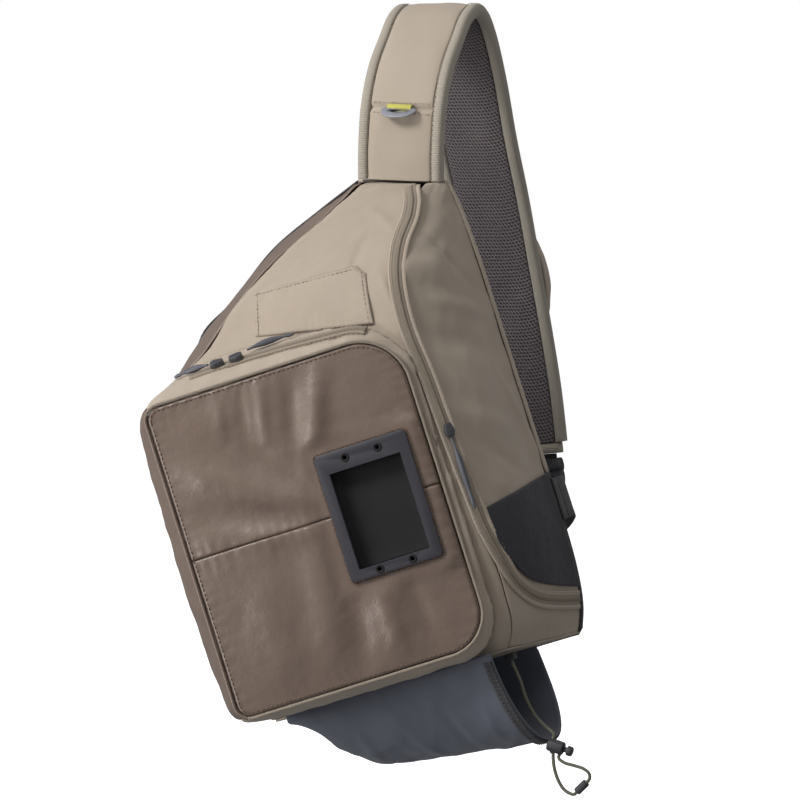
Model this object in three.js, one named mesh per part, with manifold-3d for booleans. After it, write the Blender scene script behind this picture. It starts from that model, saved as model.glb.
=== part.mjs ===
// A fishing tackle sling bag, hung up by its padded shoulder strap.
// Millimetres, +Z up, +X to the right of someone who looks at its front, -Y towards them.
// The origin is the underside of the strap's crown, where a hook would carry it.
import * as THREE from "three";
import { mergeVertices } from "three/addons/utils/BufferGeometryUtils.js";
import Module from "manifold-3d";

const wasm = await Module();
wasm.setup();

// Sizes of the main bag
const bodyWidth = 310;
const bodyHeight = 450;
const bodyDepth = 118;
const bodyCorner = 16;
const sideFullness = 6;
const frontFullness = 7;
const bagTilt = THREE.MathUtils.degToRad(19);
const clothWall = 2;
const seamGap = 0.6;
const layerGap = 0.4;
const touchGap = 0.55;
const backPadThickness = 14;
const backPadEdge = 5;
const backSeam = 1.4;

// Sizes of the front pocket
const pocketSideMargin = 75;
const pocketTopMargin = 145;
const pocketFloor = 18;
const pocketWidth = bodyWidth - pocketSideMargin;
const pocketHeight = bodyHeight - pocketTopMargin - pocketFloor;
const pocketTurn = THREE.MathUtils.degToRad(15.6);
const pocketStandOff = 156;
const pocketShiftX = -6;
const pocketMiddleZ = pocketFloor + pocketHeight / 2;
const pocketCrown = 7;
const gussetFullness = 5;
const pipingDiameter = 4.2;

// Sizes of the dock on the pocket
const dockWidth = 84;
const dockHeight = 115;
const dockCentreP = 58;
const dockCentreQ = 0;
const dockRim = 8;
const dockTopRim = 17;
const dockFlange = 2.4;
const dockRecess = 13;
const dockWall = 1.6;
const dockCorner = 3;
const eyeletDiameter = 4;
const eyeletSpacing = 30;

// Sizes of the bottle sleeve
const sleeveLength = 210;
const sleeveDrop = 82;
const sleeveDepth = 96;
const sleeveWall = 1.8;
const hemWidth = 9;
const hemThickness = 2.2;

// Sizes of the shoulder strap
const strapWidth = 82;
const strapThickness = 12;
const strapReach = 151;
const strapDrop = 418;
const strapSeat = 1.4;
const bindingWidth = 11;
const bindingThickness = 13.5;
const pouchLength = 135;
const pouchBulge = 30;
const webbingWidth = 38;
const webbingThickness = 2;
const buckleWidth = 48;
const buckleLength = 30;
const buckleThickness = 11;
const keeperWidth = 23;
const keeperWire = 3;
const keeperRingWidth = 33;
const keeperRingDrop = 15;

// Sizes of the zips and the shock cord
const zipTapeWidth = 9;
const zipTapeThickness = 1.2;
const sliderLength = 12;
const sliderWidth = 9;
const sliderHeight = 5;
const gripDiameter = 6;
const pullCord = 2.4;
const shockCord = 3;
const lockDiameter = 12;
const lockLength = 15;
const buttonDiameter = 9;
const buttonLength = 5;
const buttonGap = 3.4;
const patchThickness = 2.4;

const tan = { color: 0xa8998b, roughness: 0.85, metalness: 0 };
const brown = { color: 0x776960, roughness: 0.45, metalness: 0 };
const charcoal = { color: 0x3f3e43, roughness: 0.9, metalness: 0 };
const slate = { color: 0x464953, roughness: 0.7, metalness: 0 };
const darkMesh = { color: 0x443e40, roughness: 0.95, metalness: 0 };
const greyBinding = { color: 0xa8a297, roughness: 0.9, metalness: 0 };
const moulded = { color: 0x484650, roughness: 0.55, metalness: 0 };
const hardware = { color: 0x8c9099, roughness: 0.5, metalness: 0 };
const oliveCord = { color: 0x6f7060, roughness: 0.9, metalness: 0 };
const limeTape = { color: 0xc8c564, roughness: 0.8, metalness: 0 };

const point = (x, y, z) => new THREE.Vector3(x, y, z);
const bag = new THREE.Group();
const hung = new THREE.Group();

function addPiece(group, name, geometry, look) {
  const mesh = new THREE.Mesh(geometry, new THREE.MeshStandardMaterial(look));
  mesh.name = name;
  group.add(mesh);
  return mesh;
}

// Geometry from indexed corners, turned so that its faces point out
function solidFrom(corners, faces) {
  let volume = 0;
  for (const [a, b, c] of faces) {
    const cross = new THREE.Vector3().crossVectors(corners[b], corners[c]);
    volume += corners[a].dot(cross);
  }
  const turned = volume < 0 ? faces.map(([a, b, c]) => [a, c, b]) : faces;
  const geometry = new THREE.BufferGeometry();
  geometry.setAttribute("position", new THREE.Float32BufferAttribute(corners.flatMap((c) => c.toArray()), 3));
  geometry.setIndex(turned.flat());
  geometry.computeVertexNormals();
  return geometry;
}

// A solid through rings of corners, closed by a fan at each end or, as a hoop, joined end to end
function loftSolid(rings, hoop = false) {
  const count = rings[0].length;
  const corners = rings.flat();
  const faces = [];
  for (let i = 0; i + (hoop ? 0 : 1) < rings.length; i += 1) {
    for (let j = 0; j < count; j += 1) {
      const next = (j + 1) % count;
      const low = i * count;
      const high = ((i + 1) % rings.length) * count;
      faces.push([low + j, low + next, high + next], [low + j, high + next, high + j]);
    }
  }
  const ends = hoop ? [] : [[0, true], [rings.length - 1, false]];
  for (const [index, flip] of ends) {
    const middle = corners.length;
    const centre = rings[index].reduce((sum, c) => sum.add(c), point(0, 0, 0)).divideScalar(count);
    corners.push(centre);
    for (let j = 0; j < count; j += 1) {
      const a = index * count + j;
      const b = index * count + (j + 1) % count;
      faces.push(flip ? [middle, b, a] : [middle, a, b]);
    }
  }
  return solidFrom(corners, faces);
}

// A wall of cloth between an outer and an inner grid of points, closed along its four edges
function wallSolid(outer, inner) {
  const rows = outer.length;
  const columns = outer[0].length;
  const corners = [...outer.flat(), ...inner.flat()];
  const skin = rows * columns;
  const faces = [];
  const quad = (a, b, c, d) => faces.push([a, b, c], [a, c, d]);
  for (let i = 0; i + 1 < rows; i += 1) {
    for (let j = 0; j + 1 < columns; j += 1) {
      const a = i * columns + j;
      const d = a + columns;
      quad(a, a + 1, d + 1, d);
      quad(skin + a, skin + d, skin + d + 1, skin + a + 1);
    }
  }
  const last = (rows - 1) * columns;
  for (let j = 0; j + 1 < columns; j += 1) {
    quad(j, skin + j, skin + j + 1, j + 1);
    quad(last + j, last + j + 1, skin + last + j + 1, skin + last + j);
  }
  for (let i = 0; i + 1 < rows; i += 1) {
    const a = i * columns;
    const b = a + columns;
    const e = columns - 1;
    quad(a, b, skin + b, skin + a);
    quad(a + e, skin + a + e, skin + b + e, b + e);
  }
  return solidFrom(corners, faces);
}

// The normal of a surface of two shares, from small steps along each
function surfaceNormal(surface, a, b) {
  const step = 0.004;
  const alongA = surface(a + step, b).sub(surface(a - step, b));
  const alongB = surface(a, b + step).sub(surface(a, b - step));
  return alongA.cross(alongB).normalize();
}

// A patch of cloth on a surface: rows of shares, raised by one height outside and another inside
function clothPatch(surface, rowShares, columnShares, high, low) {
  const layer = (height) => rowShares.map((row, i) => columnShares(row, i).map((column) => {
    const normal = surfaceNormal(surface, column, row);
    return surface(column, row).addScaledVector(normal, height);
  }));
  return wallSolid(layer(high), layer(low));
}

// A band of flat section along a route: each stop has a place and its two directions
function bandSolid(stops, section) {
  return loftSolid(stops.map(({ at, across, out }) => section.map(([s, h]) => (
    at.clone().addScaledVector(across, s).addScaledVector(out, h)
  ))));
}

function roundedSection(width, height, cut) {
  const w = width / 2;
  const h = height / 2;
  const c = Math.min(cut, w, h);
  return [[-w, h - c], [-w + c, h], [w - c, h], [w, h - c], [w, c - h], [w - c, -h], [c - w, -h], [-w, c - h]];
}

function evenShares(from, to, count) {
  return Array.from({ length: count + 1 }, (_, i) => from + (to - from) * i / count);
}

// A round cord along points
function tubeSolid(points, diameter, steps, sides) {
  const shape = new THREE.Shape();
  shape.absarc(0, 0, diameter / 2, 0, Math.PI * 2);
  const outline = new THREE.Shape(shape.getSpacedPoints(sides).slice(0, -1));
  const path = new THREE.CatmullRomCurve3(points);
  return new THREE.ExtrudeGeometry(outline, { steps, extrudePath: path, bevelEnabled: false });
}

// A cord with a moulded grip and a knot: its thickness changes along its way
function pullSolid(points, thicknesses) {
  const path = new THREE.CatmullRomCurve3(points);
  const sides = 6;
  const frames = path.computeFrenetFrames(thicknesses.length - 1, false);
  return loftSolid(thicknesses.map((thick, i) => {
    const at = path.getPointAt(i / (thicknesses.length - 1));
    return Array.from({ length: sides }, (_, j) => {
      const turn = j / sides * Math.PI * 2;
      return at.clone()
        .addScaledVector(frames.normals[i], Math.cos(turn) * thick / 2)
        .addScaledVector(frames.binormals[i], Math.sin(turn) * thick / 2);
    });
  }));
}

function toManifold(geometry) {
  const bare = geometry.clone();
  bare.deleteAttribute("normal");
  bare.deleteAttribute("uv");
  const merged = mergeVertices(bare, 1e-4);
  const mesh = new wasm.Mesh({
    numProp: 3,
    vertProperties: Float32Array.from(merged.attributes.position.array),
    triVerts: Uint32Array.from(merged.index.array),
  });
  return new wasm.Manifold(mesh);
}

function fromManifold(solid) {
  const mesh = solid.getMesh();
  const geometry = new THREE.BufferGeometry();
  geometry.setAttribute("position", new THREE.BufferAttribute(Float32Array.from(mesh.vertProperties), 3));
  geometry.setIndex(new THREE.BufferAttribute(Uint32Array.from(mesh.triVerts), 1));
  geometry.computeVertexNormals();
  return geometry;
}

// The bag's four corner rails, from its floor to its strap.
// Widths are shares of half the body's width, heights of its height and depths of its depth.
const bodyRails = [
  { backLeft: [-0.897, 0], backRight: [0.897, 0], frontLeft: [-0.88, -0.78, 0.013], frontRight: [0.66, -0.78, 0.018] },
  { backLeft: [-0.974, 0.058], backRight: [0.955, 0.053], frontLeft: [-0.98, -0.949, 0.058], frontRight: [0.748, -0.847, 0.058] },
  { backLeft: [-1, 0.142], backRight: [0.987, 0.124], frontLeft: [-1.02, -1, 0.142], frontRight: [0.794, -0.915, 0.142] },
  { backLeft: [-1, 0.284], backRight: [1, 0.253], frontLeft: [-1.03, -1, 0.284], frontRight: [0.806, -0.958, 0.256] },
  { backLeft: [-1, 0.44], backRight: [1, 0.396], frontLeft: [-1.03, -1, 0.44], frontRight: [0.781, -0.975, 0.42] },
  { backLeft: [-1, 0.596], backRight: [1, 0.551], frontLeft: [-1.02, -0.992, 0.596], frontRight: [0.755, -0.966, 0.573] },
  { backLeft: [-0.994, 0.7], backRight: [1, 0.673], frontLeft: [-0.95, -0.949, 0.68], frontRight: [0.716, -0.924, 0.68] },
  { backLeft: [-0.839, 0.807], backRight: [1, 0.773], frontLeft: [-0.568, -0.78, 0.767], frontRight: [0.716, -0.831, 0.771] },
  { backLeft: [-0.581, 0.853], backRight: [0.994, 0.829], frontLeft: [-0.368, -0.661, 0.829], frontRight: [0.742, -0.678, 0.833] },
  { backLeft: [-0.219, 0.927], backRight: [0.987, 0.873], frontLeft: [-0.123, -0.483, 0.889], frontRight: [0.794, -0.475, 0.884] },
  { backLeft: [0.135, 0.969], backRight: [0.974, 0.907], frontLeft: [0.168, -0.271, 0.942], frontRight: [0.858, -0.271, 0.936] },
  { backLeft: [0.432, 1], backRight: [0.961, 0.9375], frontLeft: [0.458, -0.102, 0.997], frontRight: [0.923, -0.102, 0.942] },
];
const railTop = bodyRails.length - 1;

// The folds of the body's cloth, from one place to another. Along the front, a is a share of half the
// width, and on the right side it is a share of the depth. Rises are shares of the fullness.
const bodyFolds = [
  { side: 2, from: [-0.88, 0.8], to: [-0.35, 0.77], spread: 0.03, rise: 0.7 },
  { side: 2, from: [-0.95, 0.66], to: [-0.3, 0.6], spread: 0.025, rise: -0.5 },
  { side: 2, from: [-0.85, 0.2], to: [-0.2, 0.13], spread: 0.02, rise: 0.45 },
  { side: 1, from: [-0.5, 0.79], to: [0.1, 0.86], spread: 0.025, rise: 0.35 },
  { side: 1, from: [0.3, 0.72], to: [0.55, 0.88], spread: 0.02, rise: -0.35 },
];

const rail = (key) => new THREE.CatmullRomCurve3(bodyRails.map((row) => {
  const [x, y, z] = row[key].length === 2 ? [row[key][0], 0, row[key][1]] : row[key];
  return point(x * bodyWidth / 2, y * bodyDepth, z * bodyHeight);
}));
const rails = ["backLeft", "frontLeft", "frontRight", "backRight"].map(rail);

function distanceToLine(p, from, to) {
  const line = new THREE.Line3(point(...from, 0), point(...to, 0));
  const nearest = line.closestPointToPoint(point(...p, 0), true, point(0, 0, 0));
  return nearest.distanceTo(point(...p, 0));
}

function bodyFoldRise(side, at) {
  const a = side === 2 ? at.y / bodyDepth : at.x / (bodyWidth / 2);
  let rise = 0;
  for (const fold of bodyFolds) {
    if (fold.side === side) {
      const away = distanceToLine([a, at.z / bodyHeight], fold.from, fold.to) / fold.spread;
      rise += fold.rise * sideFullness * Math.exp(-away * away);
    }
  }
  return rise;
}

// A point of the body's outer face. The whole part of the share u says the side: 0 left, 1 front, 2 right.
const straightShare = 0.82;
function bodyPoint(u, t) {
  const stop = THREE.MathUtils.clamp(t / railTop, 0, 1);
  const corners = rails.map((curve) => curve.getPoint(stop));
  const side = Math.min(2, Math.max(0, Math.floor(u)));
  const share = u - side;
  const start = corners[side];
  const end = corners[side + 1];
  const length = start.distanceTo(end);
  const along = end.clone().sub(start).normalize();
  const reach = Math.min(bodyCorner, length / 3);
  const roundStart = side > 0;
  const roundEnd = side < 2;
  const low = roundStart ? (1 - straightShare) / (roundEnd ? 2 : 1) : 0;
  const high = roundEnd ? 1 - (1 - straightShare) / (roundStart ? 2 : 1) : 1;
  const from = start.clone().addScaledVector(along, roundStart ? reach : 0);
  const to = end.clone().addScaledVector(along, roundEnd ? -reach : 0);
  let at;
  if (roundStart && share < low) {
    const before = corners[side - 1].clone().sub(start).normalize().multiplyScalar(reach).add(start);
    at = new THREE.QuadraticBezierCurve3(before, start, from).getPoint(0.5 + 0.5 * share / low);
  } else if (roundEnd && share > high) {
    const after = corners[side + 2].clone().sub(end).normalize().multiplyScalar(reach).add(end);
    at = new THREE.QuadraticBezierCurve3(to, end, after).getPoint(0.5 * (share - high) / (1 - high));
  } else {
    at = from.clone().lerp(to, (share - low) / (high - low));
  }
  const swell = Math.sin(Math.PI * THREE.MathUtils.clamp(share, 0, 1)) ** 2;
  const fade = Math.sin(Math.PI * THREE.MathUtils.clamp(stop * 1.02, 0, 1)) ** 0.6;
  const fullness = side === 1 ? frontFullness : sideFullness;
  const outward = along.clone().cross(point(0, 0, 1)).normalize();
  return at.addScaledVector(outward, (fullness * swell * fade + bodyFoldRise(side, at) * swell));
}

// The main zip runs down beside the front right corner, turns, and runs back to the back edge
const zipShare = 2.04;
const zipTopShift = 0.14;
const zipTurnHeight = 3.1;
const zipEndHeight = 1.15;
function zipHeight(u) {
  const left = 1 - (u - zipShare) / (3 - zipShare);
  return zipEndHeight + 0.5 * left + (zipTurnHeight - zipEndHeight - 0.5) * left ** 6;
}

// The seam gap as a share of a side. The corner's arc is what the share measures there, and the arc is
// smaller where the body is thin.
function seamShare(t) {
  const depth = -rails[2].getPoint(THREE.MathUtils.clamp(t / railTop, 0, 1)).y;
  const reach = Math.min(bodyCorner, depth / 3);
  return seamGap * (1 - straightShare) / (reach * 0.78);
}
const bodyLevels = evenShares(0, railTop, 20);

// Near the strap the zip moves off the corner, onto the front
const zipAt = (t) => zipShare - zipTopShift * THREE.MathUtils.smoothstep(t, railTop - 2.2, railTop);
const leftColumns = (t) => evenShares(0, 1 - seamShare(t), 5);
const frontColumns = (t) => {
  const end = zipAt(t) - seamShare(t);
  return [...evenShares(1 + seamShare(t) / 2, end - 0.1, 6), end - 0.04, end];
};
const doorColumns = (t) => {
  const start = zipAt(t) + seamShare(t) * 1.6;
  return [0, 0.06, 0.15, 0.3, 0.55, 0.8, 1].map((s) => THREE.MathUtils.lerp(start, 3, s));
};

function buildBody() {
  const leftPatch = clothPatch(bodyPoint, bodyLevels, leftColumns, 0, -clothWall);
  addPiece(bag, "left_panel", leftPatch, brown);
  const frontPatch = clothPatch(bodyPoint, bodyLevels, frontColumns, 0, -clothWall);
  addPiece(bag, "main_panel", frontPatch, tan);
  const surface = (u, s) => bodyPoint(u, THREE.MathUtils.lerp(zipHeight(u) + 0.02, railTop, s));
  const doorLevels = [0, 0.05, 0.12, 0.2, 0.3, 0.4, 0.5, 0.6, 0.68, 0.76, 0.84, 0.92, 1];
  addPiece(bag, "side_door", clothPatch(surface, doorLevels, (s) => doorColumns(s * railTop), 0, -clothWall), tan);
  const lower = (u, s) => bodyPoint(u, THREE.MathUtils.lerp(0, zipHeight(u) - 0.02, s));
  const lowerLevels = [0, 0.33, 0.66, 1];
  addPiece(bag, "lower_side_panel", clothPatch(lower, lowerLevels, () => doorColumns(0), 0, -clothWall), tan);
}

// A plate between an outline of points and the same outline moved along a way
function plateSolid(outline, way) {
  return loftSolid([outline, outline.map((p) => p.clone().add(way))]);
}

function buildBase() {
  const outline = evenShares(0, 3, 24).map((u) => bodyPoint(u, 0).add(point(0, 0, -layerGap)));
  addPiece(bag, "base_panel", plateSolid(outline, point(0, 0, -clothWall)), tan);
}

// The padded back: the outline of the body's back, with a soft edge
function buildBack() {
  const leftSide = evenShares(0, railTop, 14).map((t) => bodyPoint(0, t));
  const rightSide = evenShares(railTop, 0, 12).map((t) => bodyPoint(3, t));
  const outline = [...leftSide, ...rightSide];
  const centre = outline.reduce((sum, c) => sum.add(c), point(0, 0, 0)).divideScalar(outline.length);
  const ring = (inset, y) => outline.map((p) => {
    const inward = centre.clone().sub(p).setY(0).normalize();
    return p.clone().addScaledVector(inward, inset).setY(y);
  });
  const rings = [
    ring(0, backSeam),
    ring(0, backPadEdge),
    ring(backPadEdge, backPadThickness - 2),
    ring(backPadEdge * 2.4, backPadThickness),
  ];
  addPiece(bag, "back_panel", loftSolid(rings), charcoal);
}

// The body as one skin, for pieces that are laid on it
const skinRows = bodyLevels.map((t) => (
  [...leftColumns(t), ...frontColumns(t), ...doorColumns(t)].map((u) => bodyPoint(u, t))
));
const skinInside = skinRows.map((row) => row.map((p) => p.clone().add(point(0, 4, 0))));
const skinLook = new THREE.MeshBasicMaterial({ side: THREE.DoubleSide });
const skinMesh = new THREE.Mesh(wallSolid(skinRows, skinInside), skinLook);
skinMesh.updateMatrixWorld();
const caster = new THREE.Raycaster();

// How far forward the body's front is at a place
function bodyFrontY(x, z) {
  caster.set(point(x, -bodyDepth * 3, z), point(0, 1, 0));
  const hits = caster.intersectObject(skinMesh);
  return hits.length > 0 ? hits[0].point.y : undefined;
}

// The pocket's own directions: p along its front, q up and h out of it
const pocketAlong = point(Math.cos(pocketTurn), Math.sin(pocketTurn), 0);
const pocketOut = point(Math.sin(pocketTurn), -Math.cos(pocketTurn), 0);
const pocketCentre = point(pocketShiftX, -pocketStandOff, pocketMiddleZ);
function pocketPoint(p, q, h) {
  return pocketCentre.clone().addScaledVector(pocketAlong, p).addScaledVector(pocketOut, h).add(point(0, 0, q));
}

// A closed outline with a radius of its own at each corner, from the lower left corner's left end round
// the floor. Each corner and each side has the same number of points on every outline.
const cornerSteps = 4;
const sideSteps = { floor: 5, right: 4, top: 6, left: 5 };
function roundedOutline({ left, right, low, high, radii }) {
  const corners = [
    { x: left, z: low, dx: 1, dz: 1, turn: Math.PI, radius: radii.lowLeft, next: "floor" },
    { x: right, z: low, dx: -1, dz: 1, turn: Math.PI * 1.5, radius: radii.lowRight, next: "right" },
    { x: right, z: high, dx: -1, dz: -1, turn: 0, radius: radii.highRight, next: "top" },
    { x: left, z: high, dx: 1, dz: -1, turn: Math.PI / 2, radius: radii.highLeft, next: "left" },
  ];
  const arcs = corners.map(({ x, z, dx, dz, turn, radius }) => evenShares(0, 1, cornerSteps).map((s) => {
    const angle = turn + s * Math.PI / 2;
    return [x + dx * radius + Math.cos(angle) * radius, z + dz * radius + Math.sin(angle) * radius];
  }));
  const outline = [];
  corners.forEach(({ next }, i) => {
    outline.push(...arcs[i]);
    const from = arcs[i][cornerSteps];
    const to = arcs[(i + 1) % 4][0];
    for (let j = 1; j < sideSteps[next]; j += 1) {
      const s = j / sideSteps[next];
      outline.push([from[0] + (to[0] - from[0]) * s, from[1] + (to[1] - from[1]) * s]);
    }
  });
  return outline;
}

const frontRadii = { lowLeft: 14, lowRight: 38, highRight: 46, highLeft: 14 };
const frontOutline = roundedOutline({
  left: -pocketWidth / 2,
  right: pocketWidth / 2,
  low: -pocketHeight / 2,
  high: pocketHeight / 2,
  radii: frontRadii,
});

// The pocket's foot on the body, a little wider and taller than its front
const footFlare = { left: 22, right: 2, floor: 8, top: 28 };
const sideGussetSwell = 3.7;
const footRadii = { lowLeft: 34, lowRight: 46, highRight: 54, highLeft: 56 };
const footTopBow = 22;
const footBowX = -52;
const pocketReach = pocketWidth / 2 * Math.cos(pocketTurn);
const footOutline = roundedOutline({
  left: pocketShiftX - pocketReach - footFlare.left,
  right: pocketShiftX + pocketReach + footFlare.right,
  low: pocketMiddleZ - pocketHeight / 2 - footFlare.floor,
  high: pocketMiddleZ + pocketHeight / 2 + footFlare.top,
  radii: footRadii,
});

// The folds of the pocket's front. Places are shares of half its width and height from its middle, and
// rises are shares of its crown.
const pocketFolds = [
  { from: [-0.62, 0.42], to: [0.02, 0.12], spread: 0.09, rise: 0.55 },
  { from: [-0.7, 0.08], to: [-0.02, -0.02], spread: 0.07, rise: 0.4 },
  { from: [-0.55, 0.24], to: [-0.06, 0.06], spread: 0.05, rise: -0.5 },
  { from: [0.3, 0.88], to: [0.22, 0.55], spread: 0.07, rise: 0.5 },
  { from: [0.1, 0.85], to: [0.05, 0.6], spread: 0.06, rise: -0.35 },
  { from: [-0.3, 0.97], to: [-0.34, 0.8], spread: 0.05, rise: 0.5 },
  { from: [0.1, -0.45], to: [0.05, -0.85], spread: 0.07, rise: -0.5 },
  { from: [0.45, -0.5], to: [0.5, -0.9], spread: 0.07, rise: 0.5 },
  { from: [-0.4, -0.2], to: [-0.5, -0.7], spread: 0.1, rise: 0.35 },
  { from: [-0.97, 0.05], to: [0.95, 0.05], spread: 0.03, rise: -0.3 },
];

// How far a place lies outside the dock's flange, in millimetres
function awayFromDock(p, q) {
  const dp = Math.max(0, Math.abs(p - dockCentreP) - dockWidth / 2);
  const dq = Math.max(0, Math.abs(q - dockCentreQ) - dockHeight / 2);
  return Math.hypot(dp, dq);
}

const dockSoftEdge = 26;
const dockFlatEdge = 4;
function pocketRise(p, q) {
  const a = THREE.MathUtils.clamp(p / (pocketWidth / 2), -1, 1);
  const b = THREE.MathUtils.clamp(q / (pocketHeight / 2), -1, 1);
  const crown = (1 - Math.abs(a) ** 2.6) * (1 - Math.abs(b) ** 2.6);
  let rise = crown * pocketCrown;
  for (const fold of pocketFolds) {
    const away = distanceToLine([a, b], fold.from, fold.to) / fold.spread;
    rise += fold.rise * pocketCrown * Math.exp(-away * away) * Math.min(1, crown * 2);
  }
  const blend = THREE.MathUtils.smoothstep(awayFromDock(p, q), dockFlatEdge, dockSoftEdge);
  return THREE.MathUtils.lerp(pocketCrown * 0.75, rise, blend);
}

// The pocket's front on a grid of shares that fits its rounded outline: each row runs between the
// outline's two sides at its height
function outlineSpan(outline, z) {
  const crossings = [];
  outline.forEach(([x0, z0], i) => {
    const [x1, z1] = outline[(i + 1) % outline.length];
    if ((z0 <= z) !== (z1 <= z)) {
      crossings.push(x0 + (x1 - x0) * (z - z0) / (z1 - z0));
    }
  });
  return [Math.min(...crossings), Math.max(...crossings)];
}

const frontInset = 2.6;
const panelOutline = roundedOutline({
  left: frontInset - pocketWidth / 2,
  right: pocketWidth / 2 - frontInset,
  low: frontInset - pocketHeight / 2,
  high: pocketHeight / 2 - frontInset,
  radii: Object.fromEntries(Object.entries(frontRadii).map(([key, radius]) => [key, radius - frontInset])),
});
function buildPocketFront() {
  const top = pocketHeight / 2 - frontInset;
  const heights = [-1, -0.985, -0.95, -0.88, -0.78, -0.62, -0.46, -0.3, -0.14, 0.02, 0.09, 0.16, 0.3, 0.44, 0.58, 0.7,
    0.8, 0.88, 0.95, 0.985, 1];
  const columns = evenShares(0, 1, 15);
  const layer = (height) => heights.map((share) => {
    const q = share * top;
    const [left, right] = outlineSpan(panelOutline, THREE.MathUtils.clamp(q, -top + 0.01, top - 0.01));
    return columns.map((s) => {
      const p = THREE.MathUtils.lerp(left, right, s);
      return pocketPoint(p, q, pocketRise(p, q) + height);
    });
  });
  const panel = toManifold(wallSolid(layer(0), layer(-clothWall)));
  const window = new THREE.BoxGeometry(
    dockWidth - 2 * dockRim + 2 * layerGap,
    60,
    dockHeight - dockRim - dockTopRim + 2 * layerGap,
  );
  placeOnDock(window, 0);
  addPiece(bag, "pocket_front", fromManifold(panel.subtract(toManifold(window))), brown);
}

// Moves a geometry made round the dock's middle into place. The recess sits below the dock's middle,
// because its top rim is wider.
const recessShift = (dockRim - dockTopRim) / 2;
function placeOnDock(geometry, out) {
  const at = pocketPoint(dockCentreP, dockCentreQ + recessShift, pocketCrown * 0.75 + out);
  geometry.rotateZ(pocketTurn);
  geometry.translate(at.x, at.y, at.z);
  return geometry;
}

function buildDock() {
  const flangeShape = new THREE.Shape();
  const w = dockWidth / 2;
  const h = dockHeight / 2;
  flangeShape.moveTo(-w + dockCorner, -h);
  flangeShape.lineTo(w - dockCorner, -h);
  flangeShape.lineTo(w, -h + dockCorner);
  flangeShape.lineTo(w, h - dockCorner);
  flangeShape.lineTo(w - dockCorner, h);
  flangeShape.lineTo(-w + dockCorner, h);
  flangeShape.lineTo(-w, h - dockCorner);
  flangeShape.lineTo(-w, -h + dockCorner);
  flangeShape.closePath();
  const flange = new THREE.ExtrudeGeometry(flangeShape, { depth: dockFlange, bevelEnabled: false });
  flange.rotateX(Math.PI / 2);
  flange.translate(0, 0, -recessShift);
  placeOnDock(flange, layerGap);
  const recessWidth = dockWidth - 2 * dockRim;
  const recessHeight = dockHeight - dockRim - dockTopRim;
  const tub = placeOnDock(new THREE.BoxGeometry(recessWidth, dockRecess, recessHeight), layerGap + 0.5 - dockRecess / 2);
  const hollowWidth = recessWidth - 2 * dockWall;
  const hollowHeight = recessHeight - 2 * dockWall;
  const hollow = placeOnDock(
    new THREE.BoxGeometry(hollowWidth, dockRecess + dockFlange, hollowHeight),
    layerGap + 0.5 + dockWall + (dockFlange - dockRecess) / 2,
  );
  let tray = toManifold(flange).add(toManifold(tub)).subtract(toManifold(hollow));
  const eyeletRows = [dockHeight / 2 - dockTopRim / 2, -dockHeight / 2 + dockRim / 2 + 1];
  for (const q of eyeletRows) {
    for (const p of [-eyeletSpacing / 2, eyeletSpacing / 2]) {
      const drill = new THREE.CylinderGeometry(eyeletDiameter / 2, eyeletDiameter / 2, 30, 8);
      drill.translate(p, 0, q - recessShift);
      placeOnDock(drill, 0);
      tray = tray.subtract(toManifold(drill));
    }
  }
  addPiece(bag, "tool_dock", fromManifold(tray), moulded);
}

// A point of the gusset: index says the place on the outline, share goes from its foot to its front, and
// inset is how far it lies inside the outer face
const seatGap = 1.3;
function outlinePlace(outline, index, inset) {
  const count = outline.length;
  const low = Math.floor(index);
  const from = new THREE.Vector2(...outline[low % count]);
  const to = new THREE.Vector2(...outline[(low + 1) % count]);
  const before = new THREE.Vector2(...outline[(low - 1 + count) % count]);
  const turn = to.clone().sub(before).normalize();
  return from.lerp(to, index - low).add(new THREE.Vector2(-turn.y, turn.x).multiplyScalar(inset));
}

function footPlace(index, inset) {
  const { x, y: z } = outlinePlace(footOutline, index, inset);
  const upper = THREE.MathUtils.smoothstep(z, pocketMiddleZ + pocketHeight * 0.3, pocketMiddleZ + pocketHeight / 2);
  const bow = Math.cos(Math.PI * THREE.MathUtils.clamp((x - footBowX) / bodyWidth, -0.5, 0.5)) - 1;
  return [x, z + upper * footTopBow * bow];
}

function gussetPoint(index, share, inset) {
  const place = outlinePlace(frontOutline, index, inset);
  const front = pocketPoint(place.x, place.y, -pipingDiameter / 2 - layerGap);
  const [x, z] = footPlace(index, inset);
  const seat = bodyFrontY(x, z) ?? -bodyDepth * 0.8;
  const foot = point(x, seat - seatGap, z);
  const outward = point(x - pocketShiftX, 0, z - pocketMiddleZ).normalize();
  const beside = THREE.MathUtils.smoothstep(pocketShiftX - pocketReach - x, -10, 10);
  outward.x *= THREE.MathUtils.lerp(1, sideGussetSwell, beside);
  return foot.lerp(front, share).addScaledVector(outward, gussetFullness * Math.sin(Math.PI * share));
}

// A run of gusset between two places on the outline
function gussetRun(from, to) {
  const shares = evenShares(0, 1, 4);
  const inner = Array.from({ length: Math.ceil(to) - Math.floor(from) - 1 }, (_, i) => Math.floor(from) + 1 + i);
  const indices = [from, ...inner, to];
  const layer = (inset) => indices.map((index) => shares.map((share) => gussetPoint(index, share, inset)));
  return wallSolid(layer(0), layer(clothWall));
}

// Where each run of the outline starts
const outlineStart = {
  floor: cornerSteps,
  right: 2 * cornerSteps + sideSteps.floor,
  top: 3 * cornerSteps + sideSteps.floor + sideSteps.right,
  left: 4 * cornerSteps + sideSteps.floor + sideSteps.right + sideSteps.top,
};

function buildGussets() {
  const split = 0.09;
  const sideEnd = outlineStart.left + sideSteps.left + 2;
  addPiece(bag, "pocket_gusset", gussetRun(2 + split, outlineStart.left - 2 - split), tan);
  const side = gussetRun(outlineStart.left - 2 + split, sideEnd - split);
  addPiece(bag, "pocket_side_gusset", side, brown);
}

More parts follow.
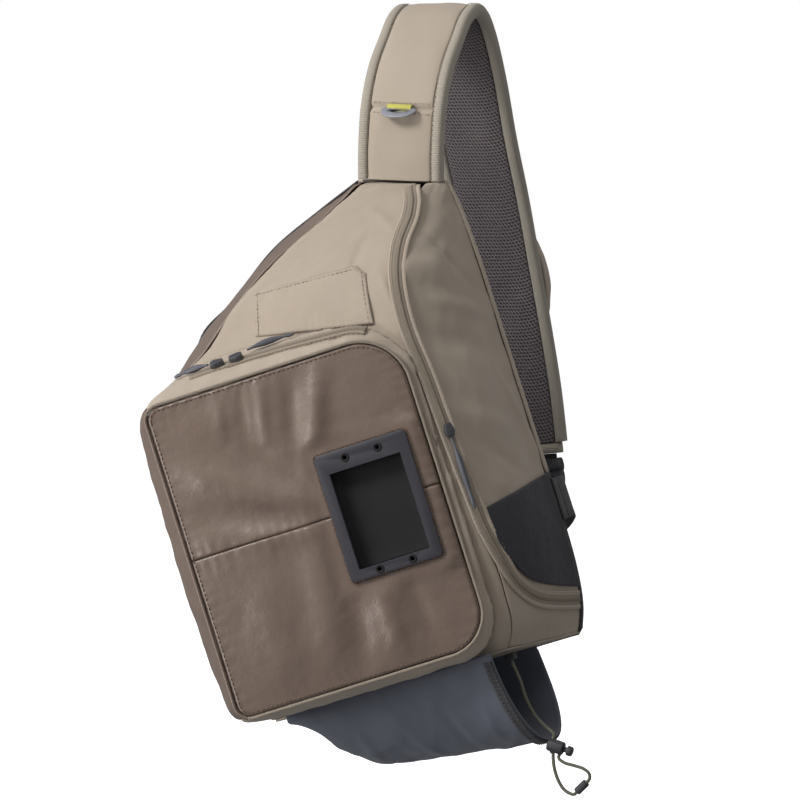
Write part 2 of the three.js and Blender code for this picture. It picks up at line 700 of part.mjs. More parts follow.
const pipingSides = 6;
function buildPiping() {
  const rings = frontOutline.map(([p, q], i) => {
    const [p0, q0] = frontOutline.at(i - 1);
    const [p1, q1] = frontOutline[(i + 1) % frontOutline.length];
    const side = new THREE.Vector2(q1 - q0, p0 - p1).normalize();
    return Array.from({ length: pipingSides }, (_, j) => {
      const turn = j / pipingSides * Math.PI * 2;
      const reach = Math.cos(turn) * pipingDiameter / 2;
      return pocketPoint(p + side.x * reach, q + side.y * reach, Math.sin(turn) * pipingDiameter / 2);
    });
  });
  addPiece(bag, "pocket_piping", loftSolid(rings, true), tan);
}

// Stops for a band that lies on a surface along a list of shares
function stopsOn(surface, shares, height) {
  const places = shares.map(([a, b]) => ({ at: surface(a, b), out: surfaceNormal(surface, a, b) }));
  return places.map(({ at, out }, i) => {
    const before = (places[i - 1] ?? places[i]).at;
    const after = (places[i + 1] ?? places[i]).at;
    const along = after.clone().sub(before).normalize();
    const across = along.clone().cross(out).normalize();
    return { at: at.clone().addScaledVector(out, height), across, out, along };
  });
}

const zipShares = [
  ...evenShares(railTop - 0.5, zipTurnHeight, 10).map((t) => [zipAt(t), t]),
  ...[0.03, 0.07, 0.13, 0.21, 0.32, 0.45, 0.6, 0.75, 0.88, 0.97].map((s) => {
    const u = THREE.MathUtils.lerp(zipShare, 3, s);
    return [u, zipHeight(u)];
  }),
];
const tapeLift = 0.6;
const tapeHeight = tapeLift + zipTapeThickness / 2;

// A slider's body, laid with its length along the zip
function sliderSolid({ at, across, out, along }) {
  const shape = new THREE.Shape();
  const w = sliderWidth / 2;
  const l = sliderLength / 2;
  shape.moveTo(-w * 0.6, -l);
  shape.lineTo(w * 0.6, -l);
  shape.lineTo(w, l * 0.3);
  shape.lineTo(w * 0.7, l);
  shape.lineTo(-w * 0.7, l);
  shape.lineTo(-w, l * 0.3);
  shape.closePath();
  const geometry = new THREE.ExtrudeGeometry(shape, { depth: sliderHeight, bevelEnabled: false });
  const turned = new THREE.Matrix4().makeBasis(across.clone().negate(), along, out);
  const righted = turned.determinant() < 0 ? new THREE.Matrix4().makeBasis(across, along, out) : turned;
  geometry.applyMatrix4(righted);
  geometry.translate(at.x, at.y, at.z);
  return geometry;
}

// The way of a pull, as lengths from its slider, and its thickness on the way
const pullLength = 66;
const pullShares = [1, 1, 1, 1.7, 2.4, 2.5, 2.5, 2.5, 2.4, 1.7, 1, 1.7, 1.7, 0.9];
const pullThickness = pullShares.map((share) => share * pullCord);

function buildMainZip() {
  const stops = stopsOn(bodyPoint, zipShares, tapeHeight);
  const section = [
    [-zipTapeWidth / 2, -zipTapeThickness / 2],
    [zipTapeWidth / 2, -zipTapeThickness / 2],
    [zipTapeWidth / 2, zipTapeThickness / 2],
    [-zipTapeWidth / 2, zipTapeThickness / 2],
  ];
  addPiece(bag, "main_zip_tape", bandSolid(stops, section), tan);
  const sliderRest = tapeHeight + zipTapeThickness / 2 + layerGap;
  const [place] = stopsOn(bodyPoint, [[zipShare, mainSliderHeight], [zipShare, mainSliderHeight - 0.1]], sliderRest);
  place.along = point(0, 0, -1).addScaledVector(place.out, place.out.z).normalize();
  place.across = place.along.clone().cross(place.out).normalize();
  addPiece(bag, "main_zip_slider", sliderSolid(place), hardware);
  const down = [0.5, 0.6, 0.72, 1, 1.3, 1.62].map((share, i) => place.at.clone()
    .addScaledVector(place.along, sliderLength / 2 + layerGap + (share - 0.5) / 1.12 * pullLength)
    .addScaledVector(place.out, [2.5, 3.2, 3.4, 3.2, 3, 2.6][i]));
  addPiece(bag, "main_zip_pull", pullSolid(down, pullThickness), hardware);
}
const mainSliderHeight = 4.25;

// The upper stash pocket: a flat overlay above the front pocket
const stash = { left: -0.2, right: 0.545, low: 0.755, high: 0.842, drop: 0.018 };
function frontLaid(x, z, height) {
  const y = bodyFrontY(x, z) ?? -bodyDepth / 2;
  return point(x, y - height, z);
}

const stashThickness = 1.4;
function buildStash() {
  const columns = evenShares(0, 1, 9);
  const rows = evenShares(0, 1, 3);
  const layer = (height) => rows.map((r) => columns.map((c) => {
    const x = THREE.MathUtils.lerp(stash.left, stash.right, c) * bodyWidth / 2;
    const top = stash.high - stash.drop * c - (c > 0.95 ? 0.02 : 0);
    return frontLaid(x, THREE.MathUtils.lerp(stash.low, top, r) * bodyHeight, height);
  }));
  addPiece(bag, "stash_panel", wallSolid(layer(stashLift + stashThickness), layer(stashLift)), tan);
}
const stashLift = 1.2;

// The foam patch covers the foot of the side door, above the zip
const patchFrontShare = 2.16;
const patchMargin = 0.34;
const patchLift = 0.7;
function patchSurface(u, s) {
  const top = THREE.MathUtils.lerp(3.2, 3.5, u - 2);
  return bodyPoint(u, THREE.MathUtils.lerp(zipHeight(u) + patchMargin, top, s));
}
function buildPatch() {
  const columns = evenShares(patchFrontShare, 2.985, 6);
  const patch = clothPatch(patchSurface, evenShares(0, 1, 5), () => columns, patchLift + patchThickness, patchLift);
  addPiece(bag, "fly_patch", patch, charcoal);
}

// The bottle sleeve hangs under the body. Along is a share of its length from its closed left end, drop
// is a share of its drop, and slope is how far the mouth leans out at its floor.
const sleeveRows = [
  { along: 0, drop: 0.03 },
  { along: 0.06, drop: 0.16 },
  { along: 0.13, drop: 0.36 },
  { along: 0.21, drop: 0.6 },
  { along: 0.28, drop: 0.73 },
  { along: 0.36, drop: 0.78 },
  { along: 0.55, drop: 0.84 },
  { along: 0.75, drop: 0.9 },
  { along: 0.9, drop: 0.95 },
  { along: 1, drop: 0.98 },
];
const sleeveLeft = -0.735 * bodyWidth / 2;
const sleeveMiddleY = -0.49 * bodyDepth;
const sleeveLean = 10;
// The sleeve's edges hang from the seam round the base, which is a little higher at the front
const sleeveFrontTop = 0.013 * bodyHeight - clothWall - 2.5 * layerGap;
const sleeveBackTop = -clothWall - 3 * layerGap;
const sleeveTurns = evenShares(0, Math.PI, 12);

function sleevePoint(row, turn) {
  const across = Math.cos(turn);
  const down = Math.sin(turn);
  const lean = sleeveLean * (down - 0.3 * across) * row.along ** 4;
  return point(
    sleeveLeft + row.along * sleeveLength + lean,
    sleeveMiddleY - Math.sign(across) * Math.abs(across) ** 0.8 * sleeveDepth / 2,
    THREE.MathUtils.lerp(sleeveFrontTop, sleeveBackTop, turn / Math.PI) - row.drop * sleeveDrop * down ** 0.8,
  );
}

function sleeveNormal(row, turn) {
  const step = 0.02;
  const around = sleevePoint(row, Math.min(Math.PI, turn + step)).sub(sleevePoint(row, Math.max(0, turn - step)));
  return around.cross(point(1, 0, 0)).normalize();
}

function buildSleeve() {
  const layer = (height) => sleeveRows.map((row) => sleeveTurns.map((turn) => (
    sleevePoint(row, turn).addScaledVector(sleeveNormal(row, turn), -height)
  )));
  addPiece(bag, "bottle_sleeve", wallSolid(layer(0), layer(sleeveWall)), slate);
  const mouth = sleeveRows.at(-1);
  const inMouth = { ...mouth, along: mouth.along - hemWidth / sleeveLength };
  const hemLayer = (height) => [inMouth, mouth].map((row) => sleeveTurns.map((turn) => (
    sleevePoint(row, turn).addScaledVector(sleeveNormal(row, turn), height)
  )));
  addPiece(bag, "sleeve_hem", wallSolid(hemLayer(layerGap + hemThickness), hemLayer(layerGap)), slate);
}

// The strap hangs over its crown. Its route is a table of places along its middle, where across is a
// share of the strap's width, out is a share of its reach and down is a share of its drop.
const strapRows = [
  { across: -0.03, out: -0.515, down: 0.354 },
  { across: -0.02, out: -0.525, down: 0.287 },
  { across: 0, out: -0.51, down: 0.196 },
  { across: 0.015, out: -0.42, down: 0.117 },
  { across: 0.035, out: -0.28, down: 0.053 },
  { across: 0.04, out: -0.14, down: 0.005 },
  { across: 0.05, out: 0, down: -0.014 },
  { across: 0.055, out: 0.12, down: -0.002 },
  { across: 0.065, out: 0.235, down: 0.04 },
  { across: 0.08, out: 0.39, down: 0.134 },
  { across: 0.1, out: 0.56, down: 0.273 },
  { across: 0.14, out: 0.72, down: 0.407 },
  { across: 0.21, out: 0.84, down: 0.565 },
  { across: 0.3, out: 0.935, down: 0.725 },
  { across: 0.385, out: 0.985, down: 0.862 },
  { across: 0.463, out: 1, down: 1 },
];
const strapRoute = new THREE.CatmullRomCurve3(strapRows.map(({ across, out, down }) => (
  point(across * strapWidth, out * strapReach, -down * strapDrop)
)));
const strapEndLean = THREE.MathUtils.degToRad(20);
const strapMiddle = point(0, strapReach * 0.2, -strapDrop * 0.4);

// A stop on the strap. Out points away from the wearer, and the width leans over near the lower end.
const strapLean = (share) => strapEndLean * THREE.MathUtils.smoothstep(share, 0.5, 1.1);
function strapStop(share) {
  const at = strapRoute.getPointAt(THREE.MathUtils.clamp(share, 0, 1));
  const along = strapRoute.getTangentAt(THREE.MathUtils.clamp(share, 0, 1));
  const lean = strapLean(share);
  const level = point(Math.cos(lean), 0, Math.sin(lean));
  const across = level.addScaledVector(along, -level.dot(along)).normalize();
  const out = across.clone().cross(along).normalize();
  if (out.dot(at.clone().sub(strapMiddle)) < 0) {
    out.negate();
  }
  return { at, along, across, out };
}

const strapShares = [
  ...evenShares(0, 0.18, 3),
  0.23,
  ...evenShares(0.27, 0.36, 3),
  0.4,
  0.45,
  ...evenShares(0.51, 0.93, 7),
  1,
];
const padWidth = strapWidth - 2 * bindingWidth - 2 * layerGap;
const liningThickness = strapThickness * 0.45;
const padThickness = strapThickness - liningThickness - 1.6 * layerGap;

function strapLayer(width, thickness, height, shares, cut) {
  const stops = shares.map((share) => {
    const stop = strapStop(share);
    return { ...stop, at: stop.at.clone().addScaledVector(stop.out, height) };
  });
  return bandSolid(stops, roundedSection(width, thickness, cut));
}

function buildStrap() {
  const outside = strapThickness / 2 - padThickness / 2;
  const inside = liningThickness / 2 - strapThickness / 2;
  const padShares = [...strapShares.slice(0, -1), 1 - bindingWidth / strapRoute.getLength()];
  addPiece(hung, "strap_pad", strapLayer(padWidth, padThickness, outside, padShares, 1.5), tan);
  addPiece(hung, "strap_mesh", strapLayer(padWidth, liningThickness, inside, padShares, 1.5), darkMesh);
  for (const [name, side] of [["strap_binding_left", -1], ["strap_binding_right", 1]]) {
    const offset = side * (strapWidth - bindingWidth) / 2;
    const stops = padShares.map((share) => {
      const stop = strapStop(share);
      return { ...stop, at: stop.at.clone().addScaledVector(stop.across, offset) };
    });
    const section = roundedSection(bindingWidth, bindingThickness, 4);
    addPiece(hung, name, bandSolid(stops, section), greyBinding);
  }
  const endShares = [padShares.at(-1) + 0.001, 1];
  const endBinding = strapLayer(strapWidth - 10, bindingThickness, 0, endShares, 4);
  addPiece(hung, "strap_end_binding", endBinding, greyBinding);
}

// The slim pouch on the outer face of the strap's rear leg swells in its middle
const pouchMiddle = 0.744;
const pouchEdge = 1.2;
const pouchSeat = 0.6;
function buildPouch() {
  const span = pouchLength / strapRoute.getLength();
  const rings = evenShares(-1, 1, 8).map((s) => {
    const stop = strapStop(pouchMiddle + s * span / 2);
    const rise = pouchBulge * Math.cos(s * Math.PI / 2) ** 0.7 + pouchEdge;
    const lift = strapThickness / 2 + layerGap + pouchSeat;
    const half = strapWidth / 2 * (0.62 + 0.37 * Math.cos(s * Math.PI / 2));
    const section = [
      [-half, 0],
      [half, 0],
      [half, rise * 0.7],
      [half * 0.84, rise],
      [-half * 0.84, rise],
      [-half, rise * 0.7],
    ];
    const bindLift = (bindingThickness - strapThickness) / 2;
    return section.map(([a, h]) => stop.at.clone()
      .addScaledVector(stop.across, a)
      .addScaledVector(stop.out, lift + bindLift + h));
  });
  addPiece(hung, "strap_pouch", loftSolid(rings), tan);
}

// The zip along the pocket's top, with two sliders whose pulls lie apart on the gusset
const pocketZipShare = 0.6;
const pocketSliderPlaces = [25.35, 24.68];
const pocketPulls = [
  { name: "pocket_zip_pull_a", start: 0, way: [[0.05, -0.02], [0.3, -0.06], [0.7, -0.08], [1.1, -0.1], [1.5, -0.1]] },
  { name: "pocket_zip_pull_b", start: 1, way: [[-0.05, -0.1], [-0.35, -0.17], [-0.8, -0.24], [-1.2, -0.3], [-1.6, -0.34]] },
];
function gussetSurface(index, share) {
  return gussetPoint(index, share, 0);
}
function gussetStops(shares, height) {
  const flat = stopsOn(gussetSurface, shares, 0);
  return flat.map((stop) => {
    const out = stop.out.dot(stop.at.clone().sub(pocketCentre)) < 0 ? stop.out.clone().negate() : stop.out;
    return { ...stop, out, at: stop.at.clone().addScaledVector(out, height) };
  });
}
const gussetLift = 0.7;
function buildPocketZip() {
  const shares = evenShares(outlineStart.top - 1, outlineStart.left - 4.6, 16).map((index) => [index, pocketZipShare]);
  const stops = gussetStops(shares, gussetLift + zipTapeThickness / 2);
  const w = zipTapeWidth * 0.45;
  const h = zipTapeThickness / 2;
  addPiece(bag, "pocket_zip_tape", bandSolid(stops, [[-w, -h], [w, -h], [w, h], [-w, h]]), tan);
  const sliderRest = gussetLift + zipTapeThickness + layerGap;
  pocketSliderPlaces.forEach((index, i) => {
    const heading = i === 0 ? 0.1 : -0.1;
    const [place] = gussetStops([[index, pocketZipShare], [index + heading, pocketZipShare]], sliderRest);
    addPiece(bag, ["pocket_zip_slider_a", "pocket_zip_slider_b"][i], sliderSolid(place), hardware);
  });
  for (const { name, start, way } of pocketPulls) {
    const reach = start === 0 ? 0.28 : -0.28;
    const shareList = way.map(([along, over]) => [pocketSliderPlaces[start] + reach + along, pocketZipShare + over]);
    const sink = (sliderRest - layerGap) / (way.length - 1);
    const route = gussetStops(shareList, layerGap + gripDiameter / 2).map(({ at, out }, i) => (
      at.addScaledVector(out, sink * (way.length - 1 - i))
    ));
    const thickness = [1, 1, 1.7, 2.4, 2.5, 2.4, 1.7, 1, 1.7, 0.9].map((share) => share * pullCord);
    addPiece(bag, name, pullSolid(route, thickness), hardware);
  }
}

// The keeper: a folded tape on the strap's front leg, with a ring whose straight bar lies in the fold
const keeperShare = 0.097;
const keeperRest = THREE.MathUtils.degToRad(48);
const foldWall = 1.5;
const foldBore = keeperWire + 2 * layerGap;
const padFace = 0.34 * bindingThickness;
const keeperOut = padFace + foldBore / 2 + foldWall;
function keeperPlace() {
  const stop = strapStop(keeperShare);
  const tangent = stop.along.clone().negate();
  return { ...stop, down: tangent, at: stop.at.clone().addScaledVector(stop.out, keeperOut) };
}

function frameOf(x, y, z, at) {
  return new THREE.Matrix4().makeBasis(x, y, z).setPosition(at);
}

function buildKeeper() {
  const { at, across, out, down } = keeperPlace();
  const up = down.clone().negate();
  const outer = foldBore / 2 + foldWall;
  const shape = new THREE.Shape();
  shape.absarc(0, 0, outer, Math.PI * 1.5, Math.PI * 2.5);
  shape.lineTo(-outer, outer);
  shape.lineTo(-outer, -outer);
  shape.closePath();
  const bore = new THREE.Path();
  bore.absarc(0, 0, foldBore / 2, 0, Math.PI * 2, true);
  shape.holes.push(bore);
  const fold = new THREE.ExtrudeGeometry(shape, { depth: keeperWidth, bevelEnabled: false, curveSegments: 5 });
  fold.translate(0, 0, -keeperWidth / 2);
  const side = out.clone().cross(up).normalize();
  fold.applyMatrix4(frameOf(out, up, side, at));
  addPiece(hung, "keeper_tab", fold, limeTape);
  const half = keeperRingWidth / 2;
  const bend = 5;
  const outline = [
    [-half * 0.5, 0], [0, 0], [half * 0.5, 0], [half - bend, 0], [half - bend * 0.3, bend * 0.3], [half, bend],
    [half * 0.8, keeperRingDrop * 0.75], [half * 0.4, keeperRingDrop * 0.97], [0, keeperRingDrop],
    [-half * 0.4, keeperRingDrop * 0.97], [-half * 0.8, keeperRingDrop * 0.75], [-half, bend],
    [-half + bend * 0.3, bend * 0.3], [-half + bend, 0],
  ];
  const hang = down.clone().multiplyScalar(Math.cos(keeperRest)).addScaledVector(out, Math.sin(keeperRest));
  const thick = hang.clone().cross(across).normalize();
  const rings = outline.map(([a, d], i) => {
    const [a0, d0] = outline.at(i - 1);
    const [a1, d1] = outline[(i + 1) % outline.length];
    const sideways = across.clone().multiplyScalar(d1 - d0).addScaledVector(hang, a0 - a1).normalize();
    const centre = at.clone().addScaledVector(across, a).addScaledVector(hang, d);
    return evenShares(0, 5, 5).map((j) => centre.clone()
      .addScaledVector(sideways, Math.cos(j / 6 * Math.PI * 2) * keeperWire / 2)
      .addScaledVector(thick, Math.sin(j / 6 * Math.PI * 2) * keeperWire / 2));
  });
  addPiece(hung, "keeper_ring", loftSolid(rings, true), hardware);
}

// Below the pad the strap goes on as webbing, through a closed buckle, to a tab sewn to the bag's right
// edge. It starts at the strap's end and ends at the tab, and the rows are its places on the way.
const webbingRows = [
  { across: 0.65, out: 0.98, down: 1.043 },
  { across: 0.695, out: 0.914, down: 1.077 },
  { across: 0.78, out: 0.795, down: 1.1 },
  { across: 0.976, out: 0.57, down: 1.115 },
  { across: 1.293, out: 0.252, down: 1.103 },
  { across: 1.56, out: -0.053, down: 1.077 },
];
const webbingStart = 9;
const webbingShift = 10;
const webbingEndRun = 18;
const tabFrontY = -1.8;
const tabBackY = 10;
const tabSeat = 1.3;
const tabRail = 3.1;
const tabEnd = () => {
  const edge = bodyPoint(3, tabRail);
  return bag.localToWorld(point(edge.x + tabSeat + webbingThickness / 2, tabBackY + layerGap, edge.z));
};
function webbingWay() {
  const { at, along, across: sideways } = strapStop(1);
  const end = tabEnd();
  at.addScaledVector(sideways, webbingShift);
  return new THREE.CatmullRomCurve3([
    at.clone().addScaledVector(along, layerGap),
    at.clone().addScaledVector(along, webbingStart),
    ...webbingRows.map(({ across, out, down }) => point(across * strapWidth, out * strapReach, -down * strapDrop)),
    end.clone().add(point(0, webbingEndRun, 0)),
    end,
  ]);
}

// The webbing turns a quarter on its way: it lies level at the buckle, and along the bag's edge at the tab
function webbingStop(route, share) {
  const at = route.getPointAt(share);
  const along = route.getTangentAt(share);
  const lean = strapLean(1);
  const level = point(Math.cos(lean), 0, Math.sin(lean));
  const upright = point(0, 0, 1).applyAxisAngle(point(0, 1, 0), -bagTilt);
  const wide = level.lerp(upright, THREE.MathUtils.smoothstep(share, 0.3, 0.9));
  const across = wide.addScaledVector(along, -wide.dot(along)).normalize();
  return { at, along, across, out: across.clone().cross(along).normalize() };
}

const buckleStart = 0.03;
function buildLowerStrap() {
  const route = webbingWay();
  const length = route.getLength();
  const section = roundedSection(webbingWidth, webbingThickness, 0.5);
  const box = roundedSection(buckleWidth, buckleThickness, 3);
  const plugEnd = buckleStart + buckleLength * 0.45 / length;
  const socketEnd = plugEnd + buckleLength / length;
  const gap = layerGap / length;
  const run = (from, to, count) => evenShares(from, to, count).map((share) => webbingStop(route, share));
  addPiece(hung, "strap_end_webbing", bandSolid(run(0, buckleStart - 4 * gap, 1), section), charcoal);
  addPiece(hung, "buckle_plug", bandSolid(run(buckleStart, plugEnd - gap, 1), box), moulded);
  addPiece(hung, "buckle_socket", bandSolid(run(plugEnd, socketEnd - gap, 3), box), moulded);
  addPiece(hung, "lower_webbing", bandSolid(run(socketEnd, 1, 16), section), charcoal);
}

// The tab is sewn flat on the side, at the back's right edge, and reaches out behind it
function buildEdgeTab() {
  const edge = bodyPoint(3, tabRail);
  const tab = new THREE.BoxGeometry(webbingThickness, tabBackY - tabFrontY, webbingWidth);
  tab.translate(edge.x + tabSeat + webbingThickness / 2, (tabFrontY + tabBackY) / 2, edge.z);
  addPiece(bag, "webbing_tab", tab, charcoal);
}

// The shock cord: from an anchor under the body's right side down to the lock at the sleeve's mouth,
// round a loop below it, and back. Its points are places in the hung frame, chosen by hand.
const lockCentre = point(173.5, -150, -641);
const lockAxis = point(0.965, 0, -0.262).normalize();
const lockUp = point(0.262, 0, 0.965).normalize();
const clipCentre = point(197.5, -150, -675.5);
const clipAxis = point(0.7, 0, 0.71).normalize();
const clipLength = 13;
const clipWidth = 7;
const stretchStrand = -4.5;
const outStrand = 0;
const backStrand = 5;
const lockFace = (along, side, clear = touchGap) => lockCentre.clone()
  .addScaledVector(lockAxis, along)
  .addScaledVector(lockUp, side * (lockDiameter / 2 + clear));
const clipFace = (side, clear = touchGap) => clipCentre.clone()
  .addScaledVector(clipAxis, side * (clipLength / 2 + clear));
const stretchPoints = [
  point(131, -147.2, -567.8),
  point(132.6, -147.4, -572),
  point(139, -148.4, -584),
  point(146, -149.4, -602),
  point(155, -150, -616),
  point(164.5, -150, -624.5),
  lockFace(stretchStrand, 1, 4),
  lockFace(stretchStrand, 1),
];
const outPoints = [
  lockFace(outStrand, -1),
  lockFace(outStrand, -1, 4),
  point(172.2, -150, -661),
  point(176, -150, -671.5),
  point(182, -150, -679.5),
  clipFace(-1, 3.4),
  clipFace(-1),
];
const backPoints = [
  clipFace(1),
  clipFace(1, 3.4),
  point(204.6, -150, -663.4),
  point(199.5, -150, -659.2),
  point(190, -150, -656.8),
  point(181.4, -150, -655),
  lockFace(backStrand, -1, 3.2),
  lockFace(backStrand, -1),
];

function turnedTo(geometry, axis, at) {
  const turn = new THREE.Quaternion().setFromUnitVectors(point(0, 1, 0), axis);
  geometry.applyQuaternion(turn);
  geometry.translate(at.x, at.y, at.z);
  return geometry;
}

const latheSides = 12;
const stemDiameter = 5;
const stemClearance = 0.3;
const stemDepth = 9;
function buildShockCord() {
  const r = lockDiameter / 2;
  const l = lockLength / 2;
  const bore = stemDiameter / 2 + stemClearance;
  const barrel = [[0, -l], [r - 1, -l], [r, 1 - l], [r, l - 1], [r - 1, l], [bore, l], [bore, l - stemDepth], [0, l - stemDepth]];
  const lathe = (profile) => new THREE.LatheGeometry(profile.map(([x, y]) => new THREE.Vector2(x, y)), latheSides);
  addPiece(hung, "cord_lock_barrel", turnedTo(lathe(barrel), lockAxis, lockCentre), moulded);
  const cap = l + buttonGap;
  const b = buttonDiameter / 2;
  const stem = stemDiameter / 2;
  const stemEnd = l - stemDepth + buttonGap;
  const button = [[0, stemEnd], [stem, stemEnd], [stem, cap], [b, cap], [b, cap + buttonLength - 1],
    [b - 1, cap + buttonLength], [0, cap + buttonLength]];
  addPiece(hung, "cord_lock_button", turnedTo(lathe(button), lockAxis, lockCentre), moulded);
  const clip = bandSolid(
    [-1, 1].map((side) => ({
      at: clipCentre.clone().addScaledVector(clipAxis, side * clipLength / 2),
      across: point(-clipAxis.z, 0, clipAxis.x),
      out: point(0, -1, 0),
    })),
    roundedSection(clipWidth, clipWidth * 0.8, 1.6),
  );
  addPiece(hung, "cord_end", clip, moulded);
  addPiece(hung, "shock_cord_stretch", tubeSolid(stretchPoints, shockCord, 12, 8), oliveCord);
  addPiece(hung, "shock_cord_out", tubeSolid(outPoints, shockCord, 8, 8), oliveCord);
  addPiece(hung, "shock_cord_back", tubeSolid(backPoints, shockCord, 8, 8), oliveCord);
}

// The cord's anchor is a folded tape under the base, at the sleeve's mouth
const anchorWidth = 9;
const anchorDrop = 6;
const anchorX = 98;
const anchorY = -74;
const anchorSeat = 0.6;
function buildAnchor() {
  const base = bag.getObjectByName("base_panel");
  base.updateWorldMatrix(true, false);
  const from = bag.localToWorld(point(anchorX, anchorY, -bodyDepth));
  const up = point(0, 0, 1).applyAxisAngle(point(0, 1, 0), -bagTilt);
  caster.set(from, up);
  const [hit] = caster.intersectObject(base);
  const underside = hit ? bag.worldToLocal(hit.point.clone()).z : -clothWall;
  const anchor = new THREE.BoxGeometry(anchorWidth, anchorWidth, anchorDrop);
  anchor.translate(anchorX, anchorY, underside - anchorSeat - anchorDrop / 2);
  addPiece(bag, "cord_anchor", anchor, slate);
}

// The bag hangs from the strap's front leg: the highest point of its top seam meets the strap's end
function placeBag() {
  const strapFoot = strapStop(0).at;
  const topSeam = [0, 1, 2, 3].map((u) => bodyPoint(u, railTop));
  const topMiddle = topSeam.reduce((sum, c) => sum.add(c), point(0, 0, 0)).divideScalar(topSeam.length);
  const turnBag = (p) => p.clone().applyAxisAngle(point(0, 1, 0), -bagTilt);
  const topHeight = Math.max(...evenShares(0, 3, 24).map((u) => turnBag(bodyPoint(u, railTop)).z));
  const topTurned = turnBag(topMiddle);
  bag.rotation.y = -bagTilt;
  bag.position.set(strapFoot.x - topTurned.x, strapFoot.y - topTurned.y, strapFoot.z - topHeight - strapSeat);
  bag.updateMatrixWorld();
}

placeBag();
buildBody();
buildBase();
buildBack();
buildPocketFront();
buildDock();
buildGussets();
buildPiping();
buildMainZip();
buildStash();
buildPatch();
buildSleeve();
buildStrap();
buildPouch();
buildPocketZip();
buildKeeper();
buildLowerStrap();
buildEdgeTab();
buildAnchor();
buildShockCord();

const object = new THREE.Group();
object.add(bag, hung);

export default object;
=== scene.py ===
# The looks of a fishing tackle sling bag, hung by its padded shoulder strap.
# Sizes are in millimetres, in the bag's or the hung frame, and become metres when a mesh is made.
import math

import bmesh
import bpy
import numpy as np
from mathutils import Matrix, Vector, noise
from mathutils.bvhtree import BVHTree


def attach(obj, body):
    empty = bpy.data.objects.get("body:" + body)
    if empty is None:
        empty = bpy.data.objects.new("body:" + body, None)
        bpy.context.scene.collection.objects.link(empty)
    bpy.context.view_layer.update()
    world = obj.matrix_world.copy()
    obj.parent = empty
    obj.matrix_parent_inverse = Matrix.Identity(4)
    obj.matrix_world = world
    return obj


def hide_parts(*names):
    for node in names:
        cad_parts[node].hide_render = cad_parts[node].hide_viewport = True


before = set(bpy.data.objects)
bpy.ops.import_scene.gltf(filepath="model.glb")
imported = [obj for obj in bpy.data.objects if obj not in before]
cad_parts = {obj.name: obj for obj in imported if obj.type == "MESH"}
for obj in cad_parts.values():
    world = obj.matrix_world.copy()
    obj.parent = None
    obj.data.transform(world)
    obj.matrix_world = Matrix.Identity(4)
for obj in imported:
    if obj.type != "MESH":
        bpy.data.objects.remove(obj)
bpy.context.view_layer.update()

MM = 0.001
BAG_BODY = "bag"

# The body
BODY_WIDTH = 310
BODY_HEIGHT = 450
BODY_DEPTH = 118
BODY_CORNER = 16
FULLNESS = {0: 6, 1: 7, 2: 6}
BAG_TILT = math.radians(19)
CLOTH = 1.9

# The front pocket
POCKET_WIDTH = 235
POCKET_HEIGHT = 287
POCKET_TURN = math.radians(15.6)
POCKET_CENTRE = Vector((-6, -156, 161.5))
POCKET_CROWN = 7
PIPING = 4.2
DOCK_P = 58
DOCK_WIDTH = 84
DOCK_HEIGHT = 115
DOCK_LEVEL = POCKET_CROWN * 0.75

# The sleeve and the strap
SLEEVE_LENGTH = 210
SLEEVE_DROP = 82
SLEEVE_DEPTH = 96
STRAP_WIDTH = 82
STRAP_REACH = 151
STRAP_DROP = 418
STRAP_LEAN = math.radians(20)
BINDING_WIDTH = 11
BINDING_THICKNESS = 13.5


def smoothstep(x, low, high):
    t = min(1, max(0, (x - low) / (high - low)))
    return t * t * (3 - 2 * t)


def lerp(a, b, s):
    return a + (b - a) * s


def shares(low, high, count):
    return [low + (high - low) * i / count for i in range(count + 1)]


def full_turn(count):
    """The angles of a full turn in equal steps."""
    return shares(0, 2 * math.pi, count)[:-1]


def squared(value, power):
    """A sine or cosine raised to a power with its sign kept, which makes a circle squarer."""
    return math.copysign(abs(value) ** power, value)


def facing(side):
    return "out" if side > 0 else "in"


class Route:
    """A smooth curve through points. point() takes a share of its points, and at() a share of its length."""

    def __init__(self, points):
        self.points = [Vector(p) for p in points]
        steps = 200
        places = [self.point(i / steps) for i in range(steps + 1)]
        self.lengths = [0.0]
        for before, after in zip(places, places[1:]):
            self.lengths.append(self.lengths[-1] + (after - before).length)
        self.length = self.lengths[-1]

    def point(self, t):
        points = self.points
        place = (len(points) - 1) * min(1, max(0, t))
        i = min(int(place), len(points) - 2)
        w = place - i
        p1, p2 = points[i], points[i + 1]
        p0 = points[i - 1] if i > 0 else p1 * 2 - p2
        p3 = points[i + 2] if i + 2 < len(points) else p2 * 2 - p1
        d0, d1, d2 = ((b - a).length ** 0.5 for a, b in ((p0, p1), (p1, p2), (p2, p3)))
        t1 = ((p1 - p0) / d0 - (p2 - p0) / (d0 + d1) + (p2 - p1) / d1) * d1
        t2 = ((p2 - p1) / d1 - (p3 - p1) / (d1 + d2) + (p3 - p2) / d2) * d1
        return (p1 + t1 * w + (p2 * 3 - p1 * 3 - t1 * 2 - t2) * w ** 2
                + (p1 * 2 - p2 * 2 + t1 + t2) * w ** 3)

    def at(self, share):
        even = np.linspace(0, 1, len(self.lengths))
        return self.point(float(np.interp(share * self.length, self.lengths, even)))

    def along(self, share):
        step = 0.002
        return (self.at(min(1, share + step)) - self.at(max(0, share - step))).normalized()


# Camera and light, in metres

CAMERA_PLACE = Vector((1.17583, -2.99623, -0.07212))
CAMERA_TARGET = Vector((-0.01835, -0.04054, -0.35102))
CAMERA_LENS = 156.5
CAMERA_SENSOR = 36
LIGHT_TARGET = Vector((0, -0.05, -0.35))
